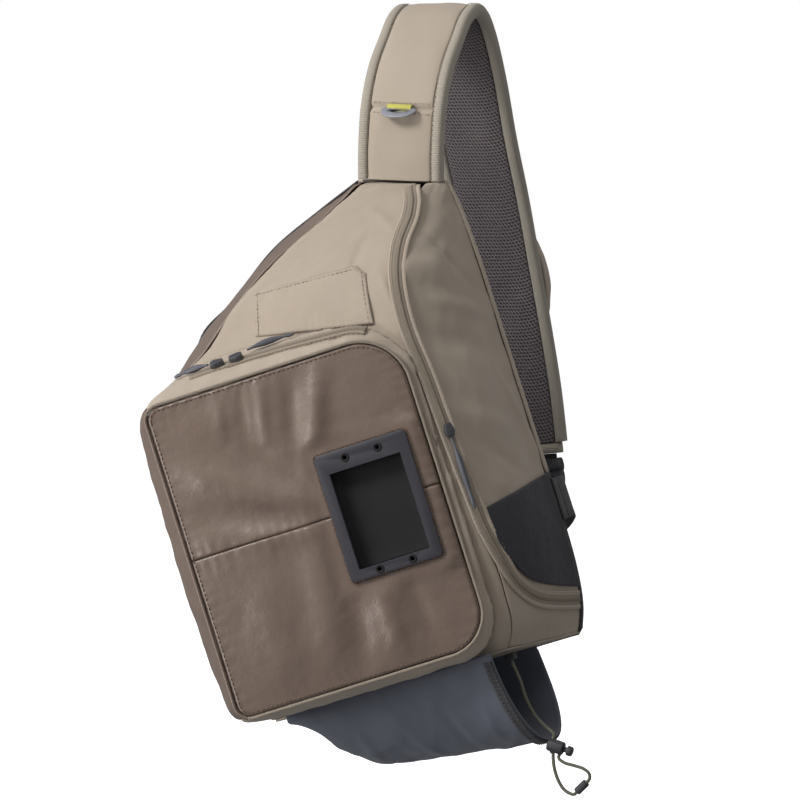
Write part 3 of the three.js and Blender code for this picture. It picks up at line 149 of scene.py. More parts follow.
# Name, place, size, power in watts and colour
LIGHTS = [
    ("key", (-1.15, -1.6, 1.05), 0.75, 39, (1, 0.985, 0.96)),
    ("fill", (0.5, -1.6, 1.6), 1.2, 9, (1, 0.94, 0.86)),
    ("low", (-1.3, -1.6, -0.95), 1.3, 50, (1, 0.97, 0.93)),
    ("rim", (0.1, 1.3, 1.5), 1.2, 7, (1, 1, 1)),
]
SOFT_LIGHT = 0.27
FLOOR_HALF = 12
FLOOR_LEVEL = -0.78
FLOOR_GLOW = 0.78
WHITE = (1, 1, 1, 1)


def aim(obj, place, target):
    obj.location = place
    obj.rotation_mode = "QUATERNION"
    obj.rotation_quaternion = (target - Vector(place)).to_track_quat("-Z", "Y")
    bpy.context.scene.collection.objects.link(obj)


def make_camera():
    data = bpy.data.cameras.new("camera")
    data.lens = CAMERA_LENS
    data.sensor_width = CAMERA_SENSOR
    data.clip_start = 0.1
    data.clip_end = 50
    camera = bpy.data.objects.new("camera", data)
    aim(camera, CAMERA_PLACE, CAMERA_TARGET)
    bpy.context.scene.camera = camera


def make_lights():
    for name, place, size, power, colour in LIGHTS:
        data = bpy.data.lights.new(name, "AREA")
        data.shape = "DISK"
        data.size = size
        data.energy = power
        data.color = colour
        aim(bpy.data.objects.new(name, data), place, LIGHT_TARGET)


def make_world():
    """Soft light from all round, before a background of plain white."""
    world = bpy.data.worlds.new("studio")
    world.use_nodes = True
    tree = world.node_tree
    soft = tree.nodes["Background"]
    soft.inputs["Color"].default_value = WHITE
    soft.inputs["Strength"].default_value = SOFT_LIGHT
    paper = tree.nodes.new("ShaderNodeBackground")
    paper.inputs["Color"].default_value = WHITE
    path = tree.nodes.new("ShaderNodeLightPath")
    mix = tree.nodes.new("ShaderNodeMixShader")
    tree.links.new(path.outputs["Is Camera Ray"], mix.inputs[0])
    tree.links.new(soft.outputs[0], mix.inputs[1])
    tree.links.new(paper.outputs[0], mix.inputs[2])
    tree.links.new(mix.outputs[0], tree.nodes["World Output"].inputs["Surface"])
    bpy.context.scene.world = world
    bpy.context.scene.view_settings.view_transform = "Standard"


def make_floor():
    """A plain pale floor below the object."""
    points = [(x, y, FLOOR_LEVEL) for y in (-FLOOR_HALF, FLOOR_HALF) for x in (-FLOOR_HALF, FLOOR_HALF)]
    mesh = bpy.data.meshes.new("floor")
    mesh.from_pydata(points, [], [(0, 1, 3, 2)])
    floor = bpy.data.objects.new("floor", mesh)
    bpy.context.scene.collection.objects.link(floor)
    material = bpy.data.materials.new("floor")
    material.use_nodes = True
    shader = material.node_tree.nodes["Principled BSDF"]
    shader.inputs["Base Color"].default_value = (0.93, 0.93, 0.93, 1)
    shader.inputs["Roughness"].default_value = 0.9
    shader.inputs["Emission Color"].default_value = WHITE
    shader.inputs["Emission Strength"].default_value = FLOOR_GLOW
    floor.data.materials.append(material)
    floor.visible_diffuse = False
    floor.visible_glossy = False


# Materials

def linear(colour):
    """An sRGB colour of whole numbers as the linear one that shaders take."""
    parts = [c / 255 for c in colour]
    return tuple(c / 12.92 if c <= 0.04045 else ((c + 0.055) / 1.055) ** 2.4 for c in parts) + (1,)


class Nodes:
    """Short calls for building one material's nodes."""

    def __init__(self, name):
        self.material = bpy.data.materials.new(name)
        self.material.use_nodes = True
        self.tree = self.material.node_tree
        self.shader = self.tree.nodes["Principled BSDF"]

    def add(self, kind, inputs=(), **settings):
        node = self.tree.nodes.new(kind)
        for key, value in settings.items():
            setattr(node, key, value)
        for key, value in dict(inputs).items():
            self.feed(node.inputs[key], value)
        return node

    def feed(self, socket, value):
        """Links a socket to another, or sets its value."""
        if isinstance(value, bpy.types.NodeSocket):
            self.tree.links.new(value, socket)
        else:
            socket.default_value = value

    def math(self, operation, a, b=0.0):
        node = self.add("ShaderNodeMath", operation=operation)
        self.feed(node.inputs[0], a)
        self.feed(node.inputs[1], b)
        return node.outputs[0]

    def weigh(self, *parts):
        """The sum of sockets, each times its own weight."""
        products = [self.math("MULTIPLY", socket, weight) for socket, weight in parts]
        total = products[0]
        for product in products[1:]:
            total = self.math("ADD", total, product)
        return total

    def mix(self, factor, a, b):
        node = self.add("ShaderNodeMix", data_type="RGBA")
        for key, value in (("Factor", factor), ("A", a), ("B", b)):
            self.feed(next(s for s in node.inputs if s.name == key and s.enabled), value)
        return next(s for s in node.outputs if s.enabled)

    def noise(self, coords, scale, detail=2.0, rough=0.5):
        inputs = {"Vector": coords, "Scale": scale, "Detail": detail, "Roughness": rough}
        return self.add("ShaderNodeTexNoise", inputs).outputs["Fac"]

    def finish(self, colour, height, strength, distance, rough, sheen=0.0):
        bump = self.add("ShaderNodeBump", {"Strength": strength, "Distance": distance, "Height": height})
        self.tree.links.new(bump.outputs[0], self.shader.inputs["Normal"])
        self.tree.links.new(colour, self.shader.inputs["Base Color"])
        self.feed(self.shader.inputs["Roughness"], rough)
        self.shader.inputs["Sheen Weight"].default_value = sheen
        self.shader.inputs["Sheen Roughness"].default_value = 0.5
        return self.material


def woven(name, colour, shade, thread=0.9, rough=0.85, by="UV"):
    """Plain woven cloth: threads both ways, a slight wave in their colour, and lint. thread is in mm."""
    n = Nodes(name)
    where = n.add("ShaderNodeTexCoord").outputs[by]
    wave = {"Vector": where, "Scale": 1 / (thread * MM) / 3.14, "Distortion": 0.6, "Detail": 1.0}
    wave["Detail Scale"] = 2.0
    warp = n.add("ShaderNodeTexWave", wave, bands_direction="X").outputs["Fac"]
    weft = n.add("ShaderNodeTexWave", wave, bands_direction="Y" if by == "UV" else "Z").outputs["Fac"]
    weave = n.math("MULTIPLY", warp, weft)
    broad = n.noise(where, 14, 3)
    fine = n.noise(where, 900, 2, 0.7)
    tone = n.weigh((broad, 0.5), (fine, 0.35), (weave, 0.3))
    mixed = n.mix(tone, linear(shade), linear(colour))
    return n.finish(mixed, n.weigh((weave, 0.8), (fine, 0.6)), 0.5, 0.0006, rough, 0.15)


def coated(name, colour, shade, rough=0.37):
    """Coated cloth with a soft satin face: fine crinkles and scuffed patches."""
    n = Nodes(name)
    where = n.add("ShaderNodeTexCoord").outputs["Object"]
    broad = n.noise(where, 9, 3, 0.6)
    fine = n.noise(where, 650, 3, 0.6)
    crinkle = n.noise(where, 85, 4, 0.62)
    mixed = n.mix(n.weigh((broad, 0.7), (fine, 0.3)), linear(shade), linear(colour))
    height = n.weigh((crinkle, 1.6), (fine, 0.25))
    scuff = n.math("ADD", n.math("MULTIPLY", broad, 0.18), rough - 0.09)
    return n.finish(mixed, height, 0.35, 0.0012, scuff, 0.0)


def spacer_mesh(name, colour, gap, cell=2.6):
    """Open spacer mesh: rows of small dark holes in a lighter net. cell is in mm."""
    n = Nodes(name)
    where = n.add("ShaderNodeTexCoord").outputs["UV"]
    parts = n.add("ShaderNodeSeparateXYZ", {"Vector": where}).outputs
    slant = n.math("ADD", parts[0], n.math("MULTIPLY", parts[1], 0.5))
    lattice = n.add("ShaderNodeCombineXYZ", {"X": slant, "Y": parts[1]}).outputs[0]
    cells = {"Vector": lattice, "Scale": 1 / (cell * MM), "Randomness": 0.06}
    holes = n.add("ShaderNodeTexVoronoi", cells).outputs["Distance"]
    net = n.add("ShaderNodeMapRange", {"Value": holes, "From Min": 0.2, "From Max": 0.44}).outputs[0]
    mixed = n.mix(net, linear(gap), linear(colour))
    return n.finish(mixed, net, 0.9, 0.0012, 0.9, 0.1)


def ribbed(name, colour, shade, rib=1.6, along="Y", rough=0.8):
    """Webbing or binding: cross ribs with a fine twill in them. rib is in mm."""
    n = Nodes(name)
    where = n.add("ShaderNodeTexCoord").outputs["UV"]
    wave = {"Vector": where, "Scale": 1 / (rib * MM) / 3.14, "Distortion": 0.3, "Detail": 1.0}
    ribs = n.add("ShaderNodeTexWave", wave, bands_direction=along).outputs["Fac"]
    fine = n.noise(where, 1100, 2, 0.7)
    broad = n.noise(where, 20, 2)
    tone = n.weigh((ribs, 0.5), (fine, 0.3), (broad, 0.25))
    mixed = n.mix(tone, linear(shade), linear(colour))
    height = n.math("ADD", ribs, n.math("MULTIPLY", fine, 0.5))
    return n.finish(mixed, height, 0.6, 0.0007, rough, 0.15)


def moulded(name, colour, shade, rough=0.5, grain=0.25):
    """Moulded plastic with a fine spark-eroded grain and broad patches of tone."""
    n = Nodes(name)
    where = n.add("ShaderNodeTexCoord").outputs["Object"]
    fine = n.noise(where, 1500, 2, 0.6)
    broad = n.noise(where, 45, 2)
    mixed = n.mix(n.weigh((broad, 0.7), (fine, 0.3)), linear(shade), linear(colour))
    return n.finish(mixed, fine, grain, 0.0004, n.math("ADD", n.math("MULTIPLY", fine, 0.15), rough - 0.07))


def braided(name, colour, fleck):
    """Braided cord sleeve: crossed diagonal strands with flecks of a second tone."""
    n = Nodes(name)
    where = n.add("ShaderNodeTexCoord").outputs["Object"]
    bands = {"Vector": where, "Scale": 260.0, "Distortion": 1.5}
    strands = n.add("ShaderNodeTexWave", bands, bands_direction="DIAGONAL").outputs["Fac"]
    fine = n.noise(where, 900, 2)
    mixed = n.mix(n.math("MULTIPLY", strands, n.math("ADD", fine, 0.4)), linear(fleck), linear(colour))
    return n.finish(mixed, strands, 0.7, 0.0005, 0.8, 0.1)


LOOKS = {
    "tan": woven("tan_cloth", (188, 176, 162), (158, 145, 131)),
    # A slightly darker copy of the tan cloth: painted shade on the front panel and the stash pocket.
    "tan_shaded_front": woven("shaded_front_tan_cloth", (181, 169, 155), (153, 140, 126)),
    "brown": coated("brown_coated", (127, 111, 101), (98, 83, 74)),
    "charcoal": woven("charcoal_foam", (60, 59, 66), (36, 35, 41), thread=0.7, rough=0.95, by="Object"),
    "back": spacer_mesh("back_mesh", (82, 79, 82), (30, 28, 31), cell=3.2),
    "slate": woven("slate_cloth", (108, 114, 129), (68, 72, 83), thread=1.1, rough=0.8),
    "mesh": spacer_mesh("spacer_mesh", (112, 105, 108), (44, 36, 40), cell=3.3),
    "binding": ribbed("grey_binding", (182, 175, 163), (146, 139, 127)),
    "webbing": ribbed("charcoal_webbing", (66, 65, 68), (34, 33, 36), rib=2.0),
    "tape": ribbed("zip_tape", (165, 153, 139), (134, 122, 108), rib=1.2),
    "coil": ribbed("zip_coil", (146, 134, 120), (98, 88, 77), rib=1.3),
    "lime": ribbed("lime_tape", (206, 203, 112), (180, 176, 80), rib=1.1),
    "moulded": moulded("moulded_grey", (58, 57, 65), (42, 41, 48)),
    # Near-black painted shade, for the dock's window and its eyelet holes.
    "recess_shade": moulded("painted_dock_shade", (30, 28, 31), (18, 17, 19), rough=0.85),
    "hardware": moulded("grey_hardware", (150, 153, 162), (124, 128, 138), rough=0.45),
    "pull": moulded("pull_grey", (98, 101, 111), (66, 68, 77), rough=0.5),
    "metal": moulded("slider_grey", (74, 75, 80), (50, 51, 56), rough=0.38),
    "cord": braided("olive_cord", (126, 126, 112), (78, 78, 66)),
    "thread": woven("tan_thread", (176, 164, 150), (140, 128, 114), thread=0.5, by="Object"),
    "brown_thread": woven("brown_thread", (128, 104, 88), (98, 78, 64), thread=0.5, by="Object"),
}
LOOKS["hem"] = LOOKS["webbing"]


# Mesh helpers

def new_object(name, mesh, look, body=BAG_BODY):
    obj = bpy.data.objects.new(name, mesh)
    bpy.context.scene.collection.objects.link(obj)
    obj.data.materials.append(LOOKS[look])
    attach(obj, body)
    return obj


def bag_to_world(points):
    """Points of the bag's frame in the hung frame, both in mm."""
    c, s = math.cos(BAG_TILT), math.sin(BAG_TILT)
    turn = np.array([[c, 0, -s], [0, 1, 0], [s, 0, c]])
    return np.asarray(points, float) @ turn.T + BAG_PLACE


def grid_of(point, rows, columns):
    """A grid of points, from a function of a row's and a column's value."""
    return np.array([[tuple(point(r, c)) for c in columns] for r in rows])


def ring_at(stop, section):
    """A section's points round a stop, which is a place with its across and out."""
    at, across, out = stop
    return [tuple(at + across * a + out * h) for a, h in section]


def grid_normals(grid):
    rows = np.gradient(grid, axis=0)
    columns = np.gradient(grid, axis=1)
    normals = np.cross(columns, rows)
    return normals / np.maximum(np.linalg.norm(normals, axis=2, keepdims=True), 1e-9)


def edge_distances(grid):
    """How far each point lies from the grid's four edges, in mm: (columns' sides, rows' sides)."""
    along_rows = np.linalg.norm(np.diff(grid, axis=0), axis=2)
    along_columns = np.linalg.norm(np.diff(grid, axis=1), axis=2)
    v = np.vstack([np.zeros(grid.shape[1]), np.cumsum(along_rows, axis=0)])
    u = np.hstack([np.zeros((grid.shape[0], 1)), np.cumsum(along_columns, axis=1)])
    return u, v


def grid_mesh(name, grid, loop=False):
    """A mesh through a grid of points in world mm, with UVs in metres along its rows and columns."""
    rows, columns = grid.shape[:2]
    mesh = bpy.data.meshes.new(name)
    width = columns if loop else columns - 1
    faces = [(i * columns + j, i * columns + (j + 1) % columns, (i + 1) * columns + (j + 1) % columns,
              (i + 1) * columns + j) for i in range(rows - 1) for j in range(width)]
    mesh.from_pydata((grid.reshape(-1, 3) * MM).tolist(), [], faces)
    u, v = edge_distances(grid)
    layer = mesh.uv_layers.new(name="uv")
    for polygon in mesh.polygons:
        for corner, index in zip(polygon.loop_indices, polygon.vertices):
            layer.data[corner].uv = (u.flat[index] * MM, v.flat[index] * MM)
    mesh.shade_smooth()
    return mesh


def sewn(grid, rise=None, roll=1.6, reach=4.0, pucker=0.35, period=8.0, sides="udlr", lift=0.0):
    """A cloth grid with its sewn edges turned in and slightly puckered, raised along its normals."""
    normals = grid_normals(grid)
    u, v = edge_distances(grid)
    width, height = u[:, -1:], v[-1:, :]
    near = {"l": u, "r": width - u, "d": v, "u": height - v}
    along = {"l": v, "r": v, "d": u, "u": u}
    change = np.zeros(u.shape) + lift
    for side in sides:
        d = near[side]
        bend = np.clip(1 - d / reach, 0, 1)
        change -= roll * (1 - np.sqrt(np.maximum(0, 1 - bend ** 2)))
        wobble = np.sin(along[side] * 2 * np.pi / period + 2.2 * np.sin(along[side] / period * 0.7))
        change += pucker * wobble * np.exp(-d / (period * 0.9)) * np.clip(d / reach, 0, 1)
    if rise is not None:
        change += rise
    return grid + normals * change[..., None]


def crumple(grid, size, amount, stretch=(1, 1, 1), seed=0.0):
    """Soft unevenness of cloth, from smooth noise of one size in mm."""
    scale = np.array(stretch) / size
    flat = grid.reshape(-1, 3) * scale + seed
    values = [noise.noise(Vector(p)) + 0.4 * noise.noise(Vector(p) * 2.3) for p in flat]
    return np.array(values).reshape(grid.shape[:2]) * amount


def cloth(name, grid, nodes, look, thickness=CLOTH, in_bag=True):
    points = bag_to_world(grid) if in_bag else grid
    obj = new_object(name, grid_mesh(name, points), look)
    solid = obj.modifiers.new("thickness", "SOLIDIFY")
    solid.thickness = thickness * MM
    solid.offset = -1
    if nodes:
        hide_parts(*nodes)
    return obj


def loft(name, rings, look, nodes=(), hoop=False):
    """A closed solid through rings of world points in mm, for straps, cords and bindings."""
    grid = np.array([[tuple(p) for p in ring] for ring in rings], float)
    if hoop:
        grid = np.concatenate([grid, grid[:1]])
    mesh = grid_mesh(name, grid, loop=True)
    if not hoop:
        shaped = bmesh.new()
        shaped.from_mesh(mesh)
        shaped.verts.ensure_lookup_table()
        count = grid.shape[1]
        last = len(shaped.verts) - count
        shaped.faces.new([shaped.verts[i] for i in reversed(range(count))])
        shaped.faces.new([shaped.verts[last + i] for i in range(count)])
        bmesh.ops.recalc_face_normals(shaped, faces=shaped.faces)
        shaped.to_mesh(mesh)
        shaped.free()
    obj = new_object(name, mesh, look)
    if nodes:
        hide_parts(*nodes)
    return obj


def refined(node, look, bevel=0.5, smooth=0, body=BAG_BODY):
    """A copy of a hard CAD piece with rounded edges."""
    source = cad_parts[node]
    mesh = source.data.copy()
    mesh.materials.clear()
    shaped = bmesh.new()
    shaped.from_mesh(mesh)
    bmesh.ops.remove_doubles(shaped, verts=shaped.verts, dist=1e-6)
    bmesh.ops.dissolve_limit(shaped, angle_limit=math.radians(2), verts=shaped.verts, edges=shaped.edges)
    shaped.to_mesh(mesh)
    shaped.free()
    obj = new_object(node + "_shown", mesh, look, body)
    if bevel:
        edge = obj.modifiers.new("edges", "BEVEL")
        edge.width = bevel * MM
        edge.segments = 3
        edge.limit_method = "ANGLE"
        edge.angle_limit = math.radians(28)
    if smooth:
        rounded = obj.modifiers.new("smooth", "SUBSURF")
        rounded.levels = rounded.render_levels = smooth
    obj.data.shade_smooth()
    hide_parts(node)
    return obj


def stitches(name, points, normals, look="thread", length=3.0, gap=1.3, width=0.7, zigzag=0.0):
    """A row of raised stitches along world points in mm."""
    shaped = bmesh.new()
    route = Route(points)
    ups = [Vector(n) for n in normals]
    count = max(1, int(route.length / (length + gap)))
    for k in range(count):
        share = (k + 0.5) / count
        place = route.at(share)
        along = route.along(share)
        up = ups[min(len(ups) - 1, int(share * len(ups)))]
        side = along.cross(up).normalized()
        if zigzag:
            swing = zigzag if k % 2 else -zigzag
            along = (along + side * swing).normalized()
            side = along.cross(up).normalized()
        up = side.cross(along).normalized()
        ring = []
        for a, w, h in ((-0.5, 0.35, 0.1), (-0.3, 1, 0.7), (0.3, 1, 0.7), (0.5, 0.35, 0.1)):
            centre = place + along * (a * length)
            ring.append([shaped.verts.new((centre + side * (w * width / 2) * x + up * (width * h * z)) * MM)
                         for x, z in ((-1, -0.4), (-0.6, 1), (0.6, 1), (1, -0.4))])
        for first, second in zip(ring, ring[1:]):
            for i in range(4):
                j = (i + 1) % 4
                shaped.faces.new((first[i], first[j], second[j], second[i]))
        shaped.faces.new(list(reversed(ring[0])))
        shaped.faces.new(ring[-1])
    bmesh.ops.recalc_face_normals(shaped, faces=shaped.faces)
    mesh = bpy.data.meshes.new(name)
    shaped.to_mesh(mesh)
    shaped.free()
    mesh.shade_smooth()
    return new_object(name, mesh, look)


# The shock cord comes first: its points are those of the CAD route, in metres

LOCK_CENTRE = Vector((0.1735, -0.150, -0.641))
LOCK_AXIS = Vector((0.965, 0, -0.262)).normalized()
LOCK_UP = Vector((0.262, 0, 0.965)).normalized()
LOCK_HALF = 0.006
CLIP_CENTRE = Vector((0.1975, -0.150, -0.6755))
CLIP_AXIS = Vector((0.7, 0, 0.71)).normalized()
CLIP_HALF = 0.0065


def lock_face(along, side, clear):
    return LOCK_CENTRE + LOCK_AXIS * along + LOCK_UP * side * (LOCK_HALF + clear)


def clip_face(side, clear):
    return CLIP_CENTRE + CLIP_AXIS * side * (CLIP_HALF + clear)


CORD_POINTS = [
    (0.131, -0.1472, -0.5678),
    (0.1326, -0.1474, -0.572),
    (0.139, -0.1484, -0.584),
    (0.146, -0.1494, -0.602),
    (0.155, -0.150, -0.616),
    (0.1645, -0.150, -0.6245),
    lock_face(-0.0045, 1, 0.004),
    lock_face(-0.0045, 1, 0.0),
    lock_face(-0.0046, 0, 0.0),
    lock_face(-0.0042, -1, -0.002),
    lock_face(-0.0022, -1, 0.0005),
    lock_face(-0.0006, -1, 0.0012),
    lock_face(0.0, -1, 0.004),
    (0.1722, -0.150, -0.661),
    (0.176, -0.150, -0.6715),
    (0.182, -0.150, -0.6795),
    clip_face(-1, 0.0034),
    clip_face(-1, 0.0),
    clip_face(0, 0.0),
    clip_face(1, 0.0),
    clip_face(1, 0.0034),
    (0.2046, -0.150, -0.6634),
    (0.1995, -0.150, -0.6592),
    (0.190, -0.150, -0.6568),
    (0.1814, -0.150, -0.655),
    lock_face(0.005, -1, 0.0032),
    lock_face(0.005, -1, 0.0),
]
CORD_DIAMETER = 0.003


def make_cord():
    route = Route(CORD_POINTS)
    line = bpy.data.curves.new("shock_cord", "CURVE")
    line.dimensions = "3D"
    line.bevel_depth = CORD_DIAMETER / 2
    line.bevel_resolution = 4
    line.use_fill_caps = True
    spline = line.splines.new("POLY")
    steps = 90
    spline.points.add(steps)
    for i in range(steps + 1):
        spline.points[i].co = (*route.at(i / steps), 1)
    cord = new_object("shock_cord", line, "cord")
    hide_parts("shock_cord_stretch", "shock_cord_out", "shock_cord_back")
    barrel = refined("cord_lock_barrel", "moulded", bevel=0.8)
    button = refined("cord_lock_button", "moulded", bevel=0.6, body="lock_button")
    clip = refined("cord_end", "moulded", bevel=1.2)


# The body. These tables are those of the CAD body: shares of its half width, depth and height

BAG_PLACE = np.array((37.37, -72.94, -596.76))
RAILS = {
    "back_left": [
        (-0.897, 0, 0), (-0.974, 0, 0.058), (-1, 0, 0.142), (-1, 0, 0.284), (-1, 0, 0.44), (-1, 0, 0.596),
        (-0.994, 0, 0.7), (-0.839, 0, 0.807), (-0.581, 0, 0.853), (-0.219, 0, 0.927), (0.135, 0, 0.969),
        (0.432, 0, 1),
    ],
    "front_left": [
        (-0.88, -0.78, 0.013), (-0.98, -0.949, 0.058), (-1.02, -1, 0.142), (-1.03, -1, 0.284),
        (-1.03, -1, 0.44), (-1.02, -0.992, 0.596), (-0.95, -0.949, 0.68), (-0.568, -0.78, 0.767),
        (-0.368, -0.661, 0.829), (-0.123, -0.483, 0.889), (0.168, -0.271, 0.942), (0.458, -0.102, 0.997),
    ],
    "front_right": [
        (0.66, -0.78, 0.018), (0.748, -0.847, 0.058), (0.794, -0.915, 0.142), (0.806, -0.958, 0.256),
        (0.781, -0.975, 0.42), (0.755, -0.966, 0.573), (0.716, -0.924, 0.68), (0.716, -0.831, 0.771),
        (0.742, -0.678, 0.833), (0.794, -0.475, 0.884), (0.858, -0.271, 0.936), (0.923, -0.102, 0.942),
    ],
    "back_right": [
        (0.897, 0, 0), (0.955, 0, 0.053), (0.987, 0, 0.124), (1, 0, 0.253), (1, 0, 0.396), (1, 0, 0.551),
        (1, 0, 0.673), (1, 0, 0.773), (0.994, 0, 0.829), (0.987, 0, 0.873), (0.974, 0, 0.907),
        (0.961, 0, 0.9375),
    ],
}
RAIL_TOP = 11
CORNERS = ("back_left", "front_left", "front_right", "back_right")
rail_routes = [Route([(x * BODY_WIDTH / 2, y * BODY_DEPTH, z * BODY_HEIGHT) for x, y, z in RAILS[key]])
               for key in CORNERS]
STRAIGHT = 0.82
corner_cache = {}


def body_corners(t):
    key = round(t, 5)
    if key not in corner_cache:
        corner_cache[key] = [route.point(t / RAIL_TOP) for route in rail_routes]
    return corner_cache[key]


def bend(a, b, c, s):
    return a * (1 - s) ** 2 + b * (2 * s * (1 - s)) + c * s ** 2


def body_point(u, t):
    """A point of the body's outer face. The whole part of u says the side: 0 left, 1 front, 2 right."""
    corners = body_corners(t)
    side = min(2, max(0, int(math.floor(u))))
    share = u - side
    start, end = corners[side], corners[side + 1]
    along = (end - start).normalized()
    reach = min(BODY_CORNER, (end - start).length / 3)
    round_start, round_end = side > 0, side < 2
    low = (1 - STRAIGHT) / (2 if round_end else 1) if round_start else 0
    high = 1 - (1 - STRAIGHT) / (2 if round_start else 1) if round_end else 1
    near = start + along * (reach if round_start else 0)
    far = end - along * (reach if round_end else 0)
    if round_start and share < low:
        before = start + (corners[side - 1] - start).normalized() * reach
        at = bend(before, start, near, 0.5 + 0.5 * share / low)
    elif round_end and share > high:
        after = end + (corners[side + 2] - end).normalized() * reach
        at = bend(far, end, after, 0.5 * (share - high) / (1 - high))
    else:
        at = near.lerp(far, (share - low) / (high - low))
    stop = t / RAIL_TOP
    swell = math.sin(math.pi * min(1, max(0, share))) ** 2
    fade = max(0.0, math.sin(math.pi * min(1, max(0, stop * 1.02)))) ** 0.6
    outward = along.cross(Vector((0, 0, 1))).normalized()
    return at + outward * (FULLNESS[side] * swell * fade)


ZIP_SHARE = 2.04
ZIP_TOP_SHIFT = 0.14
ZIP_TURN = 3.1
ZIP_END = 1.15


def zip_height(u):
    left = 1 - (u - ZIP_SHARE) / (3 - ZIP_SHARE)
    return ZIP_END + 0.5 * left + (ZIP_TURN - ZIP_END - 0.5) * left ** 6


def zip_at(t):
    return ZIP_SHARE - ZIP_TOP_SHIFT * smoothstep(t, RAIL_TOP - 2.2, RAIL_TOP)


def fold_rise(a, b, folds):
    """The rise of folds over two arrays of shares: each fold runs from one place to another, in mm."""
    rise = np.zeros(a.shape)
    for (a0, b0), (a1, b1), spread, height in folds:
        span = max(1e-9, (a1 - a0) ** 2 + (b1 - b0) ** 2)
        s = np.clip(((a - a0) * (a1 - a0) + (b - b0) * (b1 - b0)) / span, 0, 1)
        away = np.hypot(a - a0 - s * (a1 - a0), b - b0 - s * (b1 - b0)) / spread
        rise += height * np.exp(-away ** 2) * (0.15 + 0.85 * np.sin(np.pi * np.clip(s, 0.06, 0.94)) ** 0.8)
    return rise


# From, to, spread and height. Across is a share of half the width or of the depth, and up of the height.
FRONT_FOLDS = [
    ((-0.5, 0.79), (0.1, 0.86), 0.025, 2.1), ((0.3, 0.72), (0.55, 0.88), 0.02, -2.1),
    ((0.0, 0.9), (0.5, 0.93), 0.012, 1.6), ((0.1, 0.86), (0.6, 0.9), 0.014, -1.2),
    ((-0.3, 0.82), (0.25, 0.9), 0.010, -1.2), ((0.5, 0.95), (0.75, 0.86), 0.012, 1.4),
    ((0.62, 0.8), (0.72, 0.66), 0.016, 1.6), ((-0.9, 0.66), (-0.6, 0.74), 0.015, 1.5),
]
DOOR_FOLDS = [
    ((-0.88, 0.8), (-0.35, 0.77), 0.03, 4.2), ((-0.95, 0.66), (-0.3, 0.6), 0.025, -3.0),
    ((-0.9, 0.5), (-0.2, 0.42), 0.02, 2.6), ((-0.8, 0.44), (-0.3, 0.34), 0.018, -2.2),
    ((-0.7, 0.72), (-0.1, 0.66), 0.014, 1.8), ((-0.5, 0.86), (-0.15, 0.72), 0.012, -1.6),
    ((-0.85, 0.35), (-0.45, 0.3), 0.014, 1.6), ((-0.25, 0.58), (-0.05, 0.4), 0.02, 1.8),
]
LEFT_FOLDS = [
    ((-0.85, 0.2), (-0.2, 0.13), 0.02, 2.7), ((-0.8, 0.5), (-0.2, 0.55), 0.025, -2.4),
    ((-0.9, 0.66), (-0.3, 0.62), 0.02, 2.2), ((-0.6, 0.35), (-0.1, 0.3), 0.02, 1.8),
]


def body_grid(columns, levels):
    return np.array([[tuple(body_point(u, t)) for u in columns(t)] for t in levels])


SIDE_END = 2.995
ZIP_GAP = 0.06


def folded(grid, across, folds, size, amount, seed=0.0):
    """The rise of a panel's folds and its crumple. across says which axis the folds' first share is of."""
    width = {0: BODY_WIDTH / 2, 1: BODY_DEPTH}[across]
    folds_rise = fold_rise(grid[..., across] / width, grid[..., 2] / BODY_HEIGHT, folds)
    return folds_rise + crumple(grid, size, amount, seed=seed)


def make_body():
    levels = shares(0, RAIL_TOP, 110)
    left = body_grid(lambda t: shares(0, 0.985, 48), levels)
    cloth("left_side", sewn(left, folded(left, 1, LEFT_FOLDS, 34, 1.1)), ["left_panel"], "brown")

    def front_columns(t):
        return shares(1.012, lerp(ZIP_SHARE + 0.008, zip_at(t) - 0.03, smoothstep(t, 2.9, 3.3)), 84)

    front = body_grid(front_columns, levels)
    # The front shell takes the darker copy of the tan cloth, as painted shade.
    cloth("front_shell", sewn(front, folded(front, 0, FRONT_FOLDS, 30, 1.2, 3)), ["main_panel"], "tan_shaded_front")
    columns = [s ** 1.2 for s in shares(0, 1, 60)]
    rows = []
    for s in shares(0, 1, 100):
        start = zip_at(lerp(ZIP_TURN, RAIL_TOP, s)) + 0.05
        places = [lerp(start, SIDE_END, c) for c in columns]
        rows.append([tuple(body_point(u, lerp(zip_height(u) + ZIP_GAP, RAIL_TOP, s))) for u in places])
    door = np.array(rows)
    cloth("door_shell", sewn(door, folded(door, 1, DOOR_FOLDS, 26, 1.3, 5)), ["side_door"], "tan")
    places = [lerp(ZIP_SHARE + 0.012, SIDE_END, c) for c in columns]
    lower = grid_of(lambda s, u: body_point(u, lerp(0, zip_height(u) - ZIP_GAP, s)), shares(0, 1, 26), places)
    cloth("lower_side", sewn(lower, crumple(lower, 24, 0.7, seed=8)), ["lower_side_panel"], "tan")
    outline = [Vector(body_point(3 * s, 0)) for s in shares(0, 1, 60)]
    start, end = outline[0], outline[-1]
    base = np.array([[tuple(start.lerp(end, i / 60).lerp(p, r) + Vector((0, 0, -0.6)))
                      for i, p in enumerate(outline)] for r in shares(0, 1, 20)])
    cloth("base_shell", base, ["base_panel"], "tan")
    return front, door, left


BACK_PAD_THICKNESS = 13.5
BACK_CHANNELS = (0.2, 0.4, 0.6, 0.78)
BACK_CHANNEL_DEPTH = 6


def pad_height(s, r):
    """The padded back: thick fields between sewn channels, thin at its edge."""
    edge = min(s, 1 - s, r * 1.5, (1 - r) * 1.5)
    height = BACK_PAD_THICKNESS * min(1, edge / 0.07) ** 0.55
    channels = [abs(s - 0.5) / 0.03] + [abs(r - level) / 0.013 for level in BACK_CHANNELS]
    groove = max(math.exp(-d * d) for d in channels)
    return max(0.8, height - BACK_CHANNEL_DEPTH * groove * min(1, edge / 0.05))


# The stop of the right rail where the binding changes from dark to tan, and half of its thickness and depth
BINDING_CHANGE = 3.5
BACK_BINDING = (1.6, 3.4)


